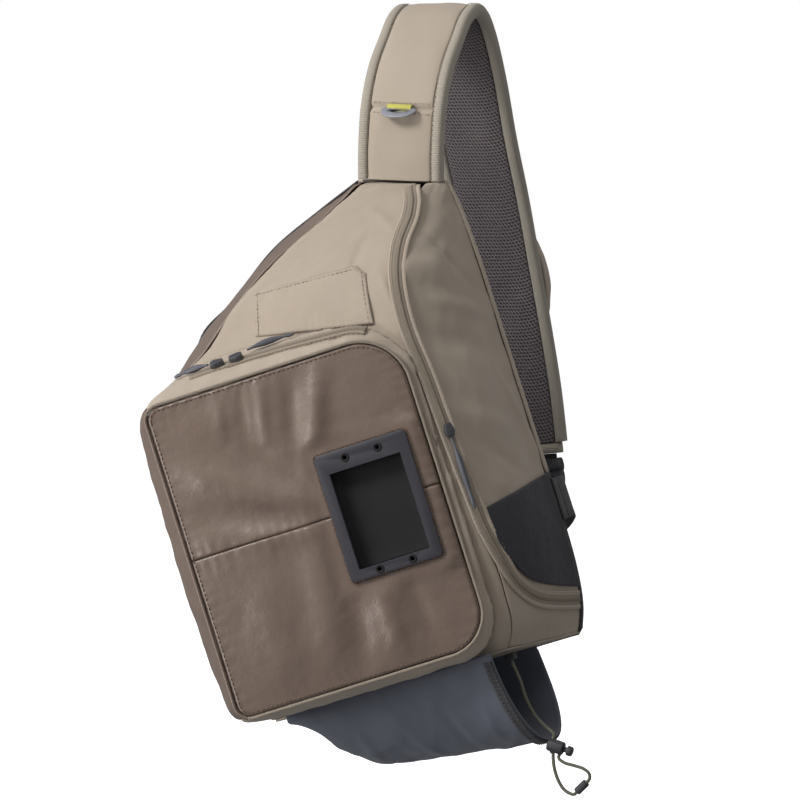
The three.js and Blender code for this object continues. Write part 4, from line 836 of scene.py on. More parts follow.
def make_back():
    rows = shares(0, 1, 130)
    columns = shares(0, 1, 90)

    def pad_point(r, s):
        flat = Vector(body_point(0, r * RAIL_TOP)).lerp(body_point(3, r * RAIL_TOP), 1 - s)
        return flat + Vector((0, pad_height(s, r), 0))

    grid = grid_of(pad_point, rows, columns)
    grid[..., 1] += crumple(grid, 30, 0.5, seed=2)
    cloth("back_pad", grid, ["back_panel"], "back", thickness=1)
    bottom = [Vector(body_point(0, 0)).lerp(body_point(3, 0), c) for c in shares(0.02, 0.98, 40)]
    dark = [body_point(0, t) for t in shares(RAIL_TOP, 0, 90)] + bottom
    dark += [body_point(3, t) for t in shares(0, BINDING_CHANGE, 40)]
    top = [Vector(body_point(3, RAIL_TOP)).lerp(body_point(0, RAIL_TOP), c) for c in shares(0.05, 1, 20)]
    light = [body_point(3, t) for t in shares(BINDING_CHANGE, RAIL_TOP, 60)] + top
    bind_edge("back_binding_dark", dark, "webbing")
    bind_edge("back_binding_light", light, "tan")


def bind_edge(name, edge, look):
    route = Route([p + Vector((0, 1.5, 0)) for p in edge])
    rings = []
    for share in shares(0, 1, int(route.length / 6)):
        at, along = route.at(share), route.along(share)
        side = along.cross(Vector((0, 1, 0))).normalized()
        thick, deep = BACK_BINDING
        rings.append([tuple(at + side * math.cos(a) * thick + Vector((0, 1, 0)) * math.sin(a) * deep)
                      for a in full_turn(10)])
    loft(name, [bag_to_world(ring) for ring in rings], look)


# The front pocket

POCKET_ALONG = Vector((math.cos(POCKET_TURN), math.sin(POCKET_TURN), 0))
POCKET_OUT = Vector((math.sin(POCKET_TURN), -math.cos(POCKET_TURN), 0))
POCKET_REACH = POCKET_WIDTH / 2 * math.cos(POCKET_TURN)
FRONT_RADII = (14, 38, 46, 14)
FOOT_RADII = (34, 46, 54, 56)
FOOT_FLARE = {"left": 22, "right": 2, "floor": 8, "top": 28}
# Places on an outline run from 0 to 36, and these start its corners and its straight runs in turn
KNOTS = (0, 4, 9, 13, 17, 21, 27, 31, 36)


def pocket_point(p, q, h):
    return POCKET_CENTRE + POCKET_ALONG * p + POCKET_OUT * h + Vector((0, 0, q))


class Outline:
    """A closed outline with a radius at each corner, from its lower left corner round its floor."""

    def __init__(self, left, right, low, high, radii):
        spots = ((left, low, 1, 1, math.pi), (right, low, -1, 1, math.pi * 1.5),
                 (right, high, -1, -1, 0), (left, high, 1, -1, math.pi / 2))
        self.arcs = [(x + dx * r, z + dz * r, turn, r) for (x, z, dx, dz, turn), r in zip(spots, radii)]

    def arc(self, corner, s):
        x, z, turn, r = self.arcs[corner % 4]
        angle = turn + s * math.pi / 2
        return np.array((x + math.cos(angle) * r, z + math.sin(angle) * r))

    def place(self, index, inset=0.0):
        def bare(i):
            i %= KNOTS[-1]
            k = max(n for n in range(8) if KNOTS[n] <= i)
            s = (i - KNOTS[k]) / (KNOTS[k + 1] - KNOTS[k])
            if k % 2 == 0:
                return self.arc(k // 2, s)
            return lerp(self.arc(k // 2, 1), self.arc(k // 2 + 1, 0), s)
        run = bare(index + 0.2) - bare(index - 0.2)
        run /= np.hypot(*run)
        return bare(index) + np.array((-run[1], run[0])) * inset




def front_inset(inset):
    """The pocket's front outline, drawn in by an inset in mm."""
    half_width, half_height = POCKET_WIDTH / 2 - inset, POCKET_HEIGHT / 2 - inset
    return Outline(-half_width, half_width, -half_height, half_height, [r - inset for r in FRONT_RADII])


front_outline = front_inset(0)
foot_outline = Outline(
    POCKET_CENTRE.x - POCKET_REACH - FOOT_FLARE["left"],
    POCKET_CENTRE.x + POCKET_REACH + FOOT_FLARE["right"],
    POCKET_CENTRE.z - POCKET_HEIGHT / 2 - FOOT_FLARE["floor"],
    POCKET_CENTRE.z + POCKET_HEIGHT / 2 + FOOT_FLARE["top"],
    FOOT_RADII,
)

# From, to, spread and height, in shares of half the pocket's width and height, and mm
POCKET_FOLDS = [
    ((-0.95, 0.62), (0.14, 0.04), 0.1, 3.4), ((-0.9, 0.3), (0.16, 0.02), 0.085, -3.0),
    ((-0.4, 0.66), (0.12, 0.16), 0.09, -2.4), ((-0.95, 0.12), (0.1, -0.05), 0.07, 1.8),
    ((0.42, 1.05), (0.12, 0.34), 0.085, 4.4), ((0.16, 1.0), (0.02, 0.44), 0.07, -3.0),
    ((-0.06, 1.1), (-0.16, 0.6), 0.05, 2.8), ((-0.22, 1.08), (-0.3, 0.66), 0.045, -2.0),
    ((-0.4, 1.1), (-0.46, 0.7), 0.05, 2.2), ((0.14, -0.3), (0.02, -1.05), 0.1, -3.6),
    ((0.32, -0.36), (0.34, -1.1), 0.09, 3.2), ((0.52, -0.34), (0.62, -1.0), 0.08, -2.6),
    ((-0.04, -0.02), (-0.2, -0.95), 0.12, 2.6), ((-0.44, -0.1), (-0.6, -1.0), 0.17, 2.4),
    ((-0.9, 0.8), (-0.3, 0.84), 0.1, 1.4), ((0.88, 0.7), (0.94, -0.6), 0.06, 1.6),
]
POCKET_FOLD_STRENGTH = 1.1
DOCK_WINDOW_DEPTH = 20


def outline_span(outline, q):
    places = [outline.place(i / 4) for i in range(144)]
    crossings = []
    for (x0, z0), (x1, z1) in zip(places, places[1:] + places[:1]):
        if (z0 <= q) != (z1 <= q):
            crossings.append(x0 + (x1 - x0) * (q - z0) / (z1 - z0))
    return min(crossings), max(crossings)


def pocket_rise(p, q):
    """How far the pocket's front stands out, over two arrays of places in mm."""
    a = np.clip(p / (POCKET_WIDTH / 2), -1, 1)
    b = np.clip(q / (POCKET_HEIGHT / 2), -1, 1)
    crown = (1 - np.abs(a) ** 2.6) * (1 - np.abs(b) ** 2.6)
    folds = POCKET_FOLD_STRENGTH * fold_rise(a, b, POCKET_FOLDS)
    rise = crown * POCKET_CROWN + folds * np.minimum(1, crown * 2)
    beside = np.maximum(0, np.abs(p - DOCK_P) - DOCK_WIDTH / 2)
    away = np.hypot(beside, np.maximum(0, np.abs(q) - DOCK_HEIGHT / 2))
    t = np.clip((away - 3) / 17, 0, 1)
    blend = t * t * (3 - 2 * t)
    rise = DOCK_LEVEL * (1 - blend) + rise * blend
    within = np.minimum(DOCK_WIDTH / 2 - np.abs(p - DOCK_P), DOCK_HEIGHT / 2 - np.abs(q))
    return rise - DOCK_WINDOW_DEPTH * np.clip((within - 1.5) / 4, 0, 1)


POCKET_SEAM = 3


def make_pocket_front():
    inset = 2.0
    panel = front_inset(inset)
    top = POCKET_HEIGHT / 2 - inset
    columns = shares(0, 1, 150)
    steps = [0.5 + 0.5 * (math.sin(s * math.pi / 2) * 0.35 + s * 0.65) for s in shares(-1, 1, 90)]
    for name, low, high, nodes in (
        ("low", 0.02 - top, POCKET_SEAM, ["pocket_front"]),
        ("high", POCKET_SEAM, top - 0.02, []),
    ):
        levels = [lerp(low, high, step) for step in steps]
        spans = [outline_span(panel, level) for level in levels]
        p = np.array([[lerp(a, b, c) for c in columns] for a, b in spans])
        q = np.array([[level] * len(columns) for level in levels])
        h = pocket_rise(p, q)
        flat = np.array([[tuple(pocket_point(x, z, 0)) for x, z in zip(*row)] for row in zip(p, q)])
        h = h + crumple(flat, 26, 0.7, seed=11) * np.clip(h / 4, 0, 1)
        grid = sewn(flat + np.array(POCKET_OUT) * h[..., None], roll=1.6, reach=3.2, pucker=0.3, period=11)
        cloth(f"pocket_face_{name}", grid, nodes, "brown", thickness=1.6)


# The gusset's foot arches over the body's front. Its side is swelled more than the rest.
FOOT_ARCH = 22
FOOT_ARCH_MIDDLE = -52
GUSSET_FULLNESS = 5
SIDE_SWELL = 3.7
PIPING_RADIUS = 1.5


def foot_place(index, inset):
    x, z = foot_outline.place(index, inset)
    upper = smoothstep(z, POCKET_CENTRE.z + POCKET_HEIGHT * 0.3, POCKET_CENTRE.z + POCKET_HEIGHT / 2)
    bow = math.cos(math.pi * min(0.5, max(-0.5, (x - FOOT_ARCH_MIDDLE) / BODY_WIDTH))) - 1
    return x, z + upper * FOOT_ARCH * bow


def make_skin(grids):
    """The body's outer face as one tree, in the bag's frame and in mm, for what is laid on it."""
    points, faces = [], []
    for grid in grids:
        start = len(points)
        rows, columns = grid.shape[:2]
        points += [tuple(p) for p in grid.reshape(-1, 3)]
        faces += [(start + i * columns + j, start + i * columns + j + 1, start + (i + 1) * columns + j + 1,
                   start + (i + 1) * columns + j) for i in range(rows - 1) for j in range(columns - 1)]
    return BVHTree.FromPolygons(points, faces)


def front_y(skin, x, z):
    hit = skin.ray_cast(Vector((x, -BODY_DEPTH * 3, z)), Vector((0, 1, 0)))[0]
    return hit.y if hit else -BODY_DEPTH * 0.8


def gusset_point(skin, index, share):
    place = front_outline.place(index)
    front = pocket_point(place[0], place[1], -PIPING / 2 - 0.4)
    x, z = foot_place(index, 0)
    around = [foot_place(index + step, 0) for step in (-0.5, -0.25, 0, 0.25, 0.5)]
    foot = Vector((x, sum(front_y(skin, *spot) for spot in around) / 5 - 0.8, z))
    outward = Vector((x - POCKET_CENTRE.x, 0, z - POCKET_CENTRE.z)).normalized()
    outward.x *= lerp(1, SIDE_SWELL, smoothstep(POCKET_CENTRE.x - POCKET_REACH - x, -10, 10))
    return foot.lerp(front, share) + outward * GUSSET_FULLNESS * math.sin(math.pi * share)


def make_gussets(skin):
    for name, node, look, start, end, seed in (
        ("gusset_wrap", "pocket_gusset", "tan", 2.02, 28.98, 17),
        ("gusset_side", "pocket_side_gusset", "brown", 29.02, 37.98, 23),
    ):
        indices = shares(start, end, int((end - start) * 9))
        grid = grid_of(lambda i, s: gusset_point(skin, i, s), indices, shares(0, 1, 26))
        rise = crumple(grid, 20, 1.3, seed=seed)
        cloth(name, sewn(grid, -rise, roll=-1.2, pucker=-0.5, period=10), [node], look, thickness=-CLOTH)


def make_piping():
    """The piping is brown down the left side and tan round the rest."""
    for name, start, end, look, nodes in (
        ("wrap", 3, 29.5, "tape", ["pocket_piping"]),
        ("side", 29.5, 39, "brown", []),
    ):
        rings = []
        for index in shares(start, end, int((end - start) * 6)):
            place = front_outline.place(index)
            outer = front_outline.place(index, -1) - place
            ring = []
            for a in full_turn(12):
                p, q = place + outer * (math.cos(a) * PIPING_RADIUS)
                ring.append(pocket_point(p, q, math.sin(a) * PIPING_RADIUS))
            rings.append([tuple(spot) for spot in ring])
        loft(f"piping_{name}", [bag_to_world(ring) for ring in rings], look, nodes)


DOCK_RIM = 8
DOCK_TOP_RIM = 17
# The level of the near-black sheet of painted shade in the dock's window.
DOCK_SHADE_LEVEL = -10.2
EYELET_SPACING = 30
EYELET_RADIUS = 3.0
EYELET_WIRE = 0.9
EYELET_RISE = 0.6
EYELET_LEVEL = 2.5
EYELET_ROWS = (DOCK_HEIGHT / 2 - DOCK_TOP_RIM / 2, -DOCK_HEIGHT / 2 + DOCK_RIM / 2 + 1)


def dock_point(p, q, h):
    """A place on the dock: across and up from its middle, and out from its flange's back."""
    return pocket_point(DOCK_P + p, q, DOCK_LEVEL + 0.4 + h)


def make_dock():
    refined("tool_dock", "moulded", bevel=0.7)
    rings = []
    width, height, corner = DOCK_WIDTH / 2 + 0.8, DOCK_HEIGHT / 2 + 0.8, 4
    rim = Outline(-width, width, -height, height, [corner] * 4)
    for i in range(144):
        p, q = rim.place(i / 4)
        rings.append(dock_point(p, q, 0.9))
    world = [Vector(v) for v in bag_to_world([tuple(r) for r in rings + rings[:1]])]
    near, far = (Vector(bag_to_world([tuple(dock_point(0, 0, h))])[0]) for h in (2, 3))
    out = far - near
    stitches("dock_stitches", world, [out], "brown_thread", length=2.6, gap=0.1, width=0.8, zigzag=0.9)
    width, height = DOCK_WIDTH / 2 - DOCK_RIM - 2.4, (DOCK_HEIGHT - DOCK_RIM - DOCK_TOP_RIM) / 2 - 2.4
    middle = (DOCK_RIM - DOCK_TOP_RIM) / 2

    # A near-black sheet across the dock's window, painted shade where the recess lies in shadow; it hides the
    # pocket cloth behind it.
    def shade_sheet_point(r, c):
        level = DOCK_SHADE_LEVEL + 1.2 * (abs(2 * c - 1) ** 8 + abs(2 * r - 1) ** 8)
        return dock_point(lerp(-width, width, c), middle + lerp(-height, height, r), level)

    floor = grid_of(shade_sheet_point, shares(0, 1, 30), shares(0, 1, 24))
    mesh = grid_mesh("dock_shade_sheet", bag_to_world(floor))
    new_object("dock_shade_sheet", mesh, "recess_shade")
    for q in EYELET_ROWS:
        for p in (-EYELET_SPACING / 2, EYELET_SPACING / 2):
            make_eyelet(f"eyelet_{'top' if q > 0 else 'low'}_{'right' if p > 0 else 'left'}", p, q)


def make_eyelet(name, p, q):
    # The eyelet rings take the near-black painted shade of their holes.
    rings = []
    for turn in full_turn(28):
        ring = []
        for a in full_turn(8):
            reach = EYELET_RADIUS + math.cos(a) * EYELET_WIRE
            ring.append(tuple(dock_point(p + math.cos(turn) * reach, q + math.sin(turn) * reach,
                                         EYELET_LEVEL + math.sin(a) * EYELET_RISE)))
        rings.append(bag_to_world(ring))
    loft(name, rings, "recess_shade", hoop=True)


# Bands laid on surfaces: zips, tapes and seams

def surface_stops(surface, places, centre=None):
    """Where a band lies on a surface: place, across and out at each of its places."""
    step = 0.01
    spots = []
    for a, b in places:
        at = surface(a, b)
        out = (surface(a + step, b) - at).cross(surface(a, b + step) - at).normalized()
        if centre is not None and out.dot(at - centre) < 0:
            out = -out
        spots.append((at, out))
    stops = []
    for i, (at, out) in enumerate(spots):
        along = spots[min(i + 1, len(spots) - 1)][0] - spots[max(i - 1, 0)][0]
        across = along.cross(out).normalized()
        stops.append((at, across, across.cross(along).normalized()))
    return stops


def flat_section(width, low, high, edge=0.4, crown=0.0):
    half = width / 2
    return [(-half, low), (-half, high - edge), (-half + edge, high), (-half * 0.5, high + crown * 0.75),
            (0, high + crown), (half * 0.5, high + crown * 0.75), (half - edge, high), (half, high - edge),
            (half, low), (0, low)]


def round_section(width, height, lift=0.0, sides=12):
    return [(math.cos(a) * width / 2, lift + math.sin(a) * height / 2) for a in full_turn(sides)]


def banded(name, stops, section, look, nodes=(), in_bag=True):
    rings = [ring_at(stop, section) for stop in stops]
    if in_bag:
        rings = [bag_to_world(ring) for ring in rings]
    return loft(name, rings, look, nodes)


def seam(name, stops, offset, lift, look="thread", in_bag=True, **style):
    """A row of stitches beside a band or an edge."""
    points = [tuple(at + across * offset + out * lift) for at, across, out in stops]
    tips = [tuple(at + across * offset + out * (lift + 1)) for at, across, out in stops]
    if in_bag:
        points, tips = bag_to_world(points), bag_to_world(tips)
    normals = [Vector(tip) - Vector(foot) for foot, tip in zip(points, tips)]
    return stitches(name, points, normals, look, **style)


ZIP_LIFT = 0.6
ZIP_WIDTH = 9
ZIP_THICKNESS = 1.2
WELT_PLACE = 6.2
WELT_WIDTH = 4.2
WELT_HEIGHT = 1.7


def make_main_zip():
    places = [(zip_at(t), t) for t in shares(RAIL_TOP - 0.5, ZIP_TURN, 110)[:-1]]
    places += [(lerp(ZIP_SHARE, 3, s), zip_height(lerp(ZIP_SHARE, 3, s))) for s in shares(0.004, 0.97, 110)]
    stops = surface_stops(body_point, places)
    top = ZIP_LIFT + ZIP_THICKNESS
    banded("main_zip", stops, flat_section(ZIP_WIDTH, ZIP_LIFT - 1.0, top), "tape", ["main_zip_tape"])
    banded("main_zip_teeth", stops, flat_section(2.6, ZIP_LIFT, top + 0.4, edge=0.3, crown=0.4), "coil")
    for side in (-1, 1):
        welt = [(side * WELT_PLACE + a, h) for a, h in round_section(WELT_WIDTH, WELT_HEIGHT, lift=1.3)]
        banded(f"main_zip_welt_{facing(side)}", stops, welt, "tan")
        seam(f"main_zip_stitches_{facing(side)}", stops, side * 7.0, 2.0)
    refined("main_zip_slider", "metal", bevel=0.7)
    refined("main_zip_pull", "pull", bevel=0.4)


POCKET_ZIP_SHARE = 0.6
POCKET_ZIP_SPAN = (20, 26.4)


def make_pocket_zip(skin):
    places = [(i, POCKET_ZIP_SHARE) for i in shares(*POCKET_ZIP_SPAN, 90)]
    stops = surface_stops(lambda i, share: gusset_point(skin, i, share), places, POCKET_CENTRE)
    banded("pocket_zip", stops, flat_section(ZIP_WIDTH, -0.6, 1.9), "tape", ["pocket_zip_tape"])
    banded("pocket_zip_teeth", stops, flat_section(3.6, 1.2, 2.3, edge=0.3, crown=0.5), "coil")
    for side in (-1, 1):
        seam(f"pocket_zip_stitches_{facing(side)}", stops, side * 5.6, 0.8)
    for key in "ab":
        refined(f"pocket_zip_slider_{key}", "metal", bevel=0.7)
        refined(f"pocket_zip_pull_{key}", "pull", bevel=0.4)


STASH = {"left": -0.2, "right": 0.545, "low": 0.755, "high": 0.842, "drop": 0.018, "fall": 0.055}


def make_stash(skin):
    rows = []
    for r in shares(0, 1, 34):
        row = []
        for c in shares(0, 1, 90):
            x = lerp(STASH["left"], STASH["right"], c) * BODY_WIDTH / 2
            top = STASH["high"] - STASH["drop"] * c - 0.02 * smoothstep(c, 0.9, 1)
            z = lerp(STASH["low"] - STASH["fall"] * c, top, r) * BODY_HEIGHT
            row.append((x, front_y(skin, x, z) - 2.6, z))
        rows.append(row)
    grid = np.array(rows)
    panel = sewn(grid, crumple(grid, 26, 0.8, seed=31), roll=1.0, reach=2.5, pucker=0.25)
    # The stash pocket takes the same darker copy of the tan cloth, as painted shade.
    cloth("stash_pocket", panel, ["stash_panel"], "tan_shaded_front", thickness=1.4)
    for name, line in (("top", grid[-3]), ("left", grid[:, 3]), ("right", grid[:, -4])):
        world = bag_to_world(line + np.array((0, -0.4, 0)))
        stitches(f"stash_{name}_stitches", world, [Vector((0, -1, 0))])


PATCH_MARGIN = 0.38
PATCH_TOP = (3.2, 3.5)
PATCH_SPAN = (2.13, 2.985)


def make_patch():
    def patch_point(s, u):
        return body_point(u, lerp(zip_height(u) + PATCH_MARGIN, lerp(*PATCH_TOP, u - 2), s))

    grid = grid_of(patch_point, shares(0, 1, 70), shares(*PATCH_SPAN, 60))
    rise = crumple(grid, 12, 0.35, seed=37) + crumple(grid, 2.6, 0.22, seed=39)
    foam = sewn(grid, rise, roll=1.3, reach=2.4, pucker=0.15, lift=3.1)
    cloth("patch", foam, ["fly_patch"], "charcoal", thickness=2.4)


# The bottle sleeve. Along is a share of its length, drop is a share of its drop

SLEEVE_ROWS = [(0, 0.03), (0.06, 0.16), (0.13, 0.36), (0.21, 0.6), (0.28, 0.73), (0.36, 0.78), (0.55, 0.84),
               (0.75, 0.9), (0.9, 0.95), (1, 0.98)]
SLEEVE_LEFT = -0.735 * BODY_WIDTH / 2
SLEEVE_MIDDLE_Y = -0.49 * BODY_DEPTH
SLEEVE_FRONT_TOP = 2.85
SLEEVE_BACK_TOP = -3.2
SLEEVE_WALL = 1.8
HEM_WIDTH = 9
SLEEVE_FOLDS = [
    ((0.1, 0.35), (0.45, 0.2), 0.03, 2.4), ((0.2, 0.5), (0.6, 0.35), 0.035, -2.2),
    ((0.5, 0.1), (0.62, 0.45), 0.03, 2.0), ((0.7, 0.08), (0.74, 0.4), 0.025, -1.6),
    ((0.3, 0.12), (0.34, 0.4), 0.025, 1.6), ((0.8, 0.5), (0.95, 0.3), 0.03, 1.5),
    ((0.12, 0.2), (0.2, 0.45), 0.02, 1.8), ((0.88, 0.1), (0.86, 0.35), 0.02, 1.2),
]


def sleeve_point(along, turn):
    places, drops = zip(*SLEEVE_ROWS)
    drop = float(np.mean([np.interp(along + d, places, drops) for d in (-0.03, -0.015, 0, 0.015, 0.03)]))
    across, down = math.cos(turn), max(0.0, math.sin(turn))
    lean = 10 * (down - 0.3 * across) * along ** 4
    y = SLEEVE_MIDDLE_Y - squared(across, 0.8) * SLEEVE_DEPTH / 2
    z = lerp(SLEEVE_FRONT_TOP, SLEEVE_BACK_TOP, turn / math.pi) - drop * SLEEVE_DROP * down ** 0.8
    return SLEEVE_LEFT + along * SLEEVE_LENGTH + lean, y, z


def make_sleeve():
    turns = [math.pi * s for s in shares(1, 0, 90)]
    columns = shares(0, 1, 110)
    grid = grid_of(lambda turn, a: sleeve_point(a, turn), turns, columns)
    a = np.array([columns] * len(turns))
    b = np.array([[turn / math.pi] * len(columns) for turn in turns])
    rise = fold_rise(a, b, SLEEVE_FOLDS) + crumple(grid, 24, 1.3, seed=41)
    rise *= np.clip((1 - a) * 12, 0, 1) * np.clip(a * 8, 0, 1)
    shell = grid + grid_normals(grid) * rise[..., None]
    back = [shell[:1] + np.array((0, 0, lift)) for lift in (9, 5)]
    front = [shell[-1:] + np.array((0, 0, lift)) for lift in (4, 7)]
    shell = np.concatenate([*back, shell, *front])
    cloth("sleeve", shell, ["bottle_sleeve"], "slate", thickness=SLEEVE_WALL)
    start = 1 - HEM_WIDTH / SLEEVE_LENGTH
    hem = grid_of(lambda turn, a: sleeve_point(a, turn), turns, shares(start, 1, 12))
    band = sewn(hem, roll=0.9, reach=1.8, pucker=0.2, sides="lr", lift=2.6)
    cloth("hem", band, ["sleeve_hem"], "hem", thickness=2.2)
    for k in (3, 9):
        line = hem + grid_normals(hem) * 2.7
        world = bag_to_world(line[:, k])
        middle = Vector(bag_to_world([(0, SLEEVE_MIDDLE_Y, -SLEEVE_DROP * 0.3)])[0])
        ups = [Vector(p) - middle for p in world]
        ups = [Vector((0, up.y, up.z)).normalized() for up in ups]
        stitches(f"hem_stitches_{k}", world, ups, "slate", length=2.6)


# The strap hangs over its crown: across is a share of its width, out of its reach and down of its drop

STRAP_ROWS = [(-0.03, -0.515, 0.354), (-0.02, -0.525, 0.287), (0, -0.51, 0.196), (0.015, -0.42, 0.117),
              (0.035, -0.28, 0.053), (0.04, -0.14, 0.005), (0.05, 0, -0.014), (0.055, 0.12, -0.002),
              (0.065, 0.235, 0.04), (0.08, 0.39, 0.134), (0.1, 0.56, 0.273), (0.14, 0.72, 0.407),
              (0.21, 0.84, 0.565), (0.3, 0.935, 0.725), (0.385, 0.985, 0.862), (0.463, 1, 1)]
strap_route = Route([(a * STRAP_WIDTH, o * STRAP_REACH, -d * STRAP_DROP) for a, o, d in STRAP_ROWS])
STRAP_MIDDLE = Vector((0, STRAP_REACH * 0.2, -STRAP_DROP * 0.4))
PAD_END = 1 - BINDING_WIDTH / strap_route.length
PAD_WIDTH = STRAP_WIDTH - 2 * BINDING_WIDTH
KEEPER_SHARE = 0.097
PAD_HALF = 4.6


def strap_stop(share):
    """Place, across and out of the strap's middle. Out points away from the wearer."""
    share = min(1, max(0, share))
    at, along = strap_route.at(share), strap_route.along(share)
    lean = STRAP_LEAN * smoothstep(share, 0.5, 1.1)
    level = Vector((math.cos(lean), 0, math.sin(lean)))
    across = (level - along * level.dot(along)).normalized()
    out = across.cross(along).normalized()
    if out.dot(at - STRAP_MIDDLE) < 0:
        out = -out
    return at, across, out


def strap_soft(a, share, seed):
    """Small wrinkles of the strap's cloth, in mm."""
    return noise.noise(Vector((a / 22, share * strap_route.length / 26, seed)))


def pad_section(share):
    """The pad's outer layer: puffed between its bindings, and drawn in at the seam under the keeper."""
    half = PAD_WIDTH / 2
    away = (share - KEEPER_SHARE) * strap_route.length
    from_end = (share - PAD_END) * strap_route.length
    draw = 2.6 * math.exp(-(away / 2.6) ** 2) + 1.2 * math.exp(-(from_end / 5) ** 2)
    places = [half * math.sin(s * math.pi / 2) for s in shares(-1, 1, 30)]
    top = [(a, PAD_HALF + 2.2 * (1 - abs(a / half) ** 4) ** 0.6 - draw + 0.8 * strap_soft(a, share, 3))
           for a in places]
    return top + [(half, 0.1), (-half, 0.1)]


def lining_section(share):
    half = PAD_WIDTH / 2
    places = [half * math.sin(s * math.pi / 2) for s in shares(1, -1, 24)]
    low = [(a, -PAD_HALF - 1.3 * (1 - abs(a / half) ** 4) ** 0.6 - 0.7 * strap_soft(a, share, 9))
           for a in places]
    return low + [(-half, -0.1), (half, -0.1)]


def along_strap(name, section, look, nodes):
    rings = [ring_at(strap_stop(share), section(share)) for share in shares(0, PAD_END, 560)]
    return loft(name, rings, look, nodes)


def binding_section(side):
    middle = side * (STRAP_WIDTH - BINDING_WIDTH) / 2
    return [(middle + squared(math.cos(a), 0.75) * BINDING_WIDTH / 2,
             squared(math.sin(a), 0.85) * BINDING_THICKNESS / 2)
            for a in full_turn(20)]


def make_strap():
    pad = along_strap("strap_cushion", pad_section, "tan", ["strap_pad"])
    lining = along_strap("strap_lining", lining_section, "mesh", ["strap_mesh"])
    stops = [strap_stop(share) for share in shares(0.002, PAD_END, 240)]
    seam_place = STRAP_WIDTH / 2 - BINDING_WIDTH + 1.6
    for side, word in ((-1, "left"), (1, "right")):
        section = binding_section(side)
        along_strap(f"binding_{word}", lambda share: section, "binding", [f"strap_binding_{word}"])
        seam(f"binding_{word}_stitches", stops, side * seam_place, 6.4, in_bag=False)
    for side in (-1, 1):
        at, across, out = strap_stop(KEEPER_SHARE + side * 4.4 / strap_route.length)
        points = [at + across * a + out * (6.7 - 0.6 * (a / 29) ** 4) for a in shares(-28, 28, 12)]
        stitches(f"strap_seam_{'up' if side > 0 else 'down'}", points, [out])
    half = (STRAP_WIDTH - 10) / 2
    end = [(squared(math.cos(a), 0.3) * half,
            squared(math.sin(a), 0.8) * BINDING_THICKNESS / 2)
           for a in full_turn(36)]
    rings = []
    for i, share in enumerate(shares(PAD_END + 0.0006, 1, 10)):
        round_off = math.sqrt(max(0.12, 1 - abs(i / 5 - 1) ** 3))
        rings.append(ring_at(strap_stop(share), [(a, h * round_off) for a, h in end]))
    loft("end_binding", rings, "binding", ["strap_end_binding"])


POUCH_MIDDLE = 0.744
POUCH_LENGTH = 135
POUCH_BULGE = 30


def make_pouch():
    span = POUCH_LENGTH / strap_route.length
    rows = []
    for s in shares(-1, 1, 90):
        at, across, out = strap_stop(POUCH_MIDDLE + s * span / 2)
        round_up = max(0.0, math.cos(s * math.pi / 2))
        half = STRAP_WIDTH / 2 * (0.62 + 0.38 * round_up)
        rise = POUCH_BULGE * round_up ** 0.7 + 1.2
        row = []
        for c in [math.sin(b * math.pi / 2) for b in shares(-1, 1, 60)]:
            height = rise * (1 - abs(c) ** 6) ** 0.4
            row.append(tuple(at + across * (c * half) + out * (BINDING_THICKNESS / 2 + 1 + height)))
        rows.append(row)
    grid = np.array(rows)
    if grid_normals(grid)[45, 30].dot(np.array(strap_stop(POUCH_MIDDLE)[2])) < 0:
        grid = grid[::-1]
    grid = grid + grid_normals(grid) * crumple(grid, 18, 0.9, seed=51)[..., None]
    cloth("pouch", grid, ["strap_pouch"], "tan", thickness=1.6, in_bag=False)


# The keeper on the front leg, the webbing with its buckle, and the tab at the bag's edge

def make_keeper():
    refined("keeper_tab", "lime", bevel=0.3)
    refined("keeper_ring", "hardware", bevel=0, smooth=2, body="ring")


WEBBING_WIDTH = 38
WEBBING_THICKNESS = 2
WEBBING_ROWS = [(0.65, 0.98, 1.043), (0.695, 0.914, 1.077), (0.78, 0.795, 1.1), (0.976, 0.57, 1.115),
                (1.293, 0.252, 1.103), (1.56, -0.053, 1.077)]
TAB_RAIL = 3.1
TAB_SEAT = 1.3
TAB_FRONT_Y = -1.8
TAB_BACK_Y = 10
BUCKLE_WIDTH = 48
BUCKLE_LENGTH = 30
BUCKLE_THICKNESS = 11
BUCKLE_START = 0.03


def webbing_way():
    at, across, _ = strap_stop(1)
    along = strap_route.along(1)
    edge = body_point(3, TAB_RAIL)
    end = Vector(bag_to_world([(edge.x + TAB_SEAT + WEBBING_THICKNESS / 2, TAB_BACK_Y + 0.4, edge.z)])[0])
    start = at + across * 10
    rows = [(a * STRAP_WIDTH, o * STRAP_REACH, -d * STRAP_DROP) for a, o, d in WEBBING_ROWS]
    return Route([start + along * 0.4, start + along * 9, *rows, end + Vector((0, 18, 0)), end])


def webbing_stop(route, share):
    at, along = route.at(share), route.along(share)
    lean = STRAP_LEAN * smoothstep(1, 0.5, 1.1)
    level = Vector((math.cos(lean), 0, math.sin(lean)))
    upright = Vector((-math.sin(BAG_TILT), 0, math.cos(BAG_TILT)))
    wide = level.lerp(upright, smoothstep(share, 0.3, 0.9))
    across = (wide - along * wide.dot(along)).normalized()
    return at, across, across.cross(along).normalized()


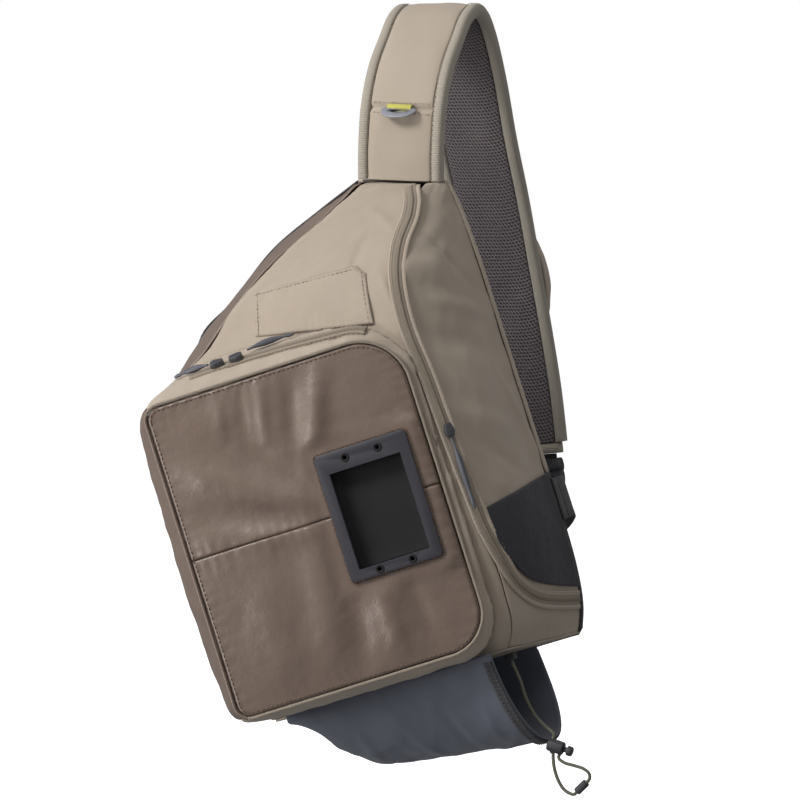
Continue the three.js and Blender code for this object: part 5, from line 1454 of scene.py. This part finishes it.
def make_webbing():
    route = webbing_way()
    plug_end = BUCKLE_START + BUCKLE_LENGTH * 0.45 / route.length
    socket_end = plug_end + BUCKLE_LENGTH / route.length
    half = WEBBING_THICKNESS / 2
    flat = flat_section(WEBBING_WIDTH, -half, half, edge=0.5)
    for name, node, low, high, steps in (
        ("webbing_start", "strap_end_webbing", 0, BUCKLE_START + 0.004, 10),
        ("webbing_run", "lower_webbing", socket_end - 0.004, 1, 90),
    ):
        stops = [webbing_stop(route, share) for share in shares(low, high, steps)]
        banded(name, stops, flat, "webbing", [node], in_bag=False)
    for name, node, low, high in (
        ("plug", "buckle_plug", BUCKLE_START, plug_end), ("socket", "buckle_socket", plug_end, socket_end),
    ):
        make_buckle_half(name, node, [webbing_stop(route, share) for share in shares(low, high, 12)])
    edge = body_point(3, TAB_RAIL)
    stops = []
    for s in shares(0, 1, 8):
        x = edge.x + TAB_SEAT + 1 + 0.7 * math.sin(s * math.pi)
        at = Vector((x, lerp(TAB_FRONT_Y, TAB_BACK_Y, s), edge.z))
        stops.append((at, Vector((0, 0, 1)), Vector((1, 0, 0))))
    banded("edge_tab", stops, flat, "webbing", ["webbing_tab"])


def make_buckle_half(name, node, stops):
    """A buckle half: a shell that is drawn in at its ends, with ribs across its face."""
    count = len(stops) - 1
    rings = []
    for i, (at, across, out) in enumerate(stops):
        full = 1 - 0.35 * abs(2 * i / count - 1) ** 4
        width = BUCKLE_WIDTH / 2 * (1 - 0.05 * abs(2 * i / count - 1) ** 3)
        rings.append([tuple(at + across * (squared(math.cos(a), 0.45) * width)
                            + out * (squared(math.sin(a), 0.6) * BUCKLE_THICKNESS / 2 * full))
                      for a in full_turn(32)])
    loft(name, rings, "moulded", [node])
    for k in range(3):
        at, across, out = stops[2 + 2 * k]
        side = across.cross(out)
        for face in (-1, 1):
            centre = at + out * (face * BUCKLE_THICKNESS * 0.49)
            rings = [[tuple(centre + across * (s * BUCKLE_WIDTH * 0.3) + side * math.cos(a) * 0.9
                            + out * math.sin(a) * 0.7) for a in full_turn(8)]
                     for s in shares(-1, 1, 6)]
            loft(f"{name}_rib_{k}_{facing(face)}", rings, "moulded")


def make_anchor():
    refined("cord_anchor", "hem", bevel=0.9)


GUSSET_SEAM_SHARE = 0.08


def make_seams(skin):
    """Stitches round the pocket and along its gusset's foot."""
    top = PIPING * 1.15
    outline = front_inset(top)
    points = []
    for i in range(145):
        p, q = outline.place(i / 4)
        rise = float(pocket_rise(np.array([p]), np.array([q]))[0])
        points.append(tuple(pocket_point(p, q, rise + 0.5)))
    stitches("pocket_stitches", bag_to_world(points), [Vector((0.25, -0.96, 0.08))], "brown_thread")
    places = [(i, GUSSET_SEAM_SHARE) for i in shares(3, 28, 220)]
    stops = surface_stops(lambda i, share: gusset_point(skin, i, share), places, POCKET_CENTRE)
    seam("gusset_foot_stitches", stops, 0, 0.7)


make_camera()
make_lights()
make_world()
make_floor()
make_cord()
front_grid, door_grid, left_grid = make_body()
skin = make_skin([front_grid, door_grid, left_grid])
make_back()
make_pocket_front()
make_gussets(skin)
make_piping()
make_dock()
make_main_zip()
make_pocket_zip(skin)
make_stash(skin)
make_patch()
make_sleeve()
make_strap()
make_pouch()
make_keeper()
make_webbing()
make_anchor()
make_seams(skin)
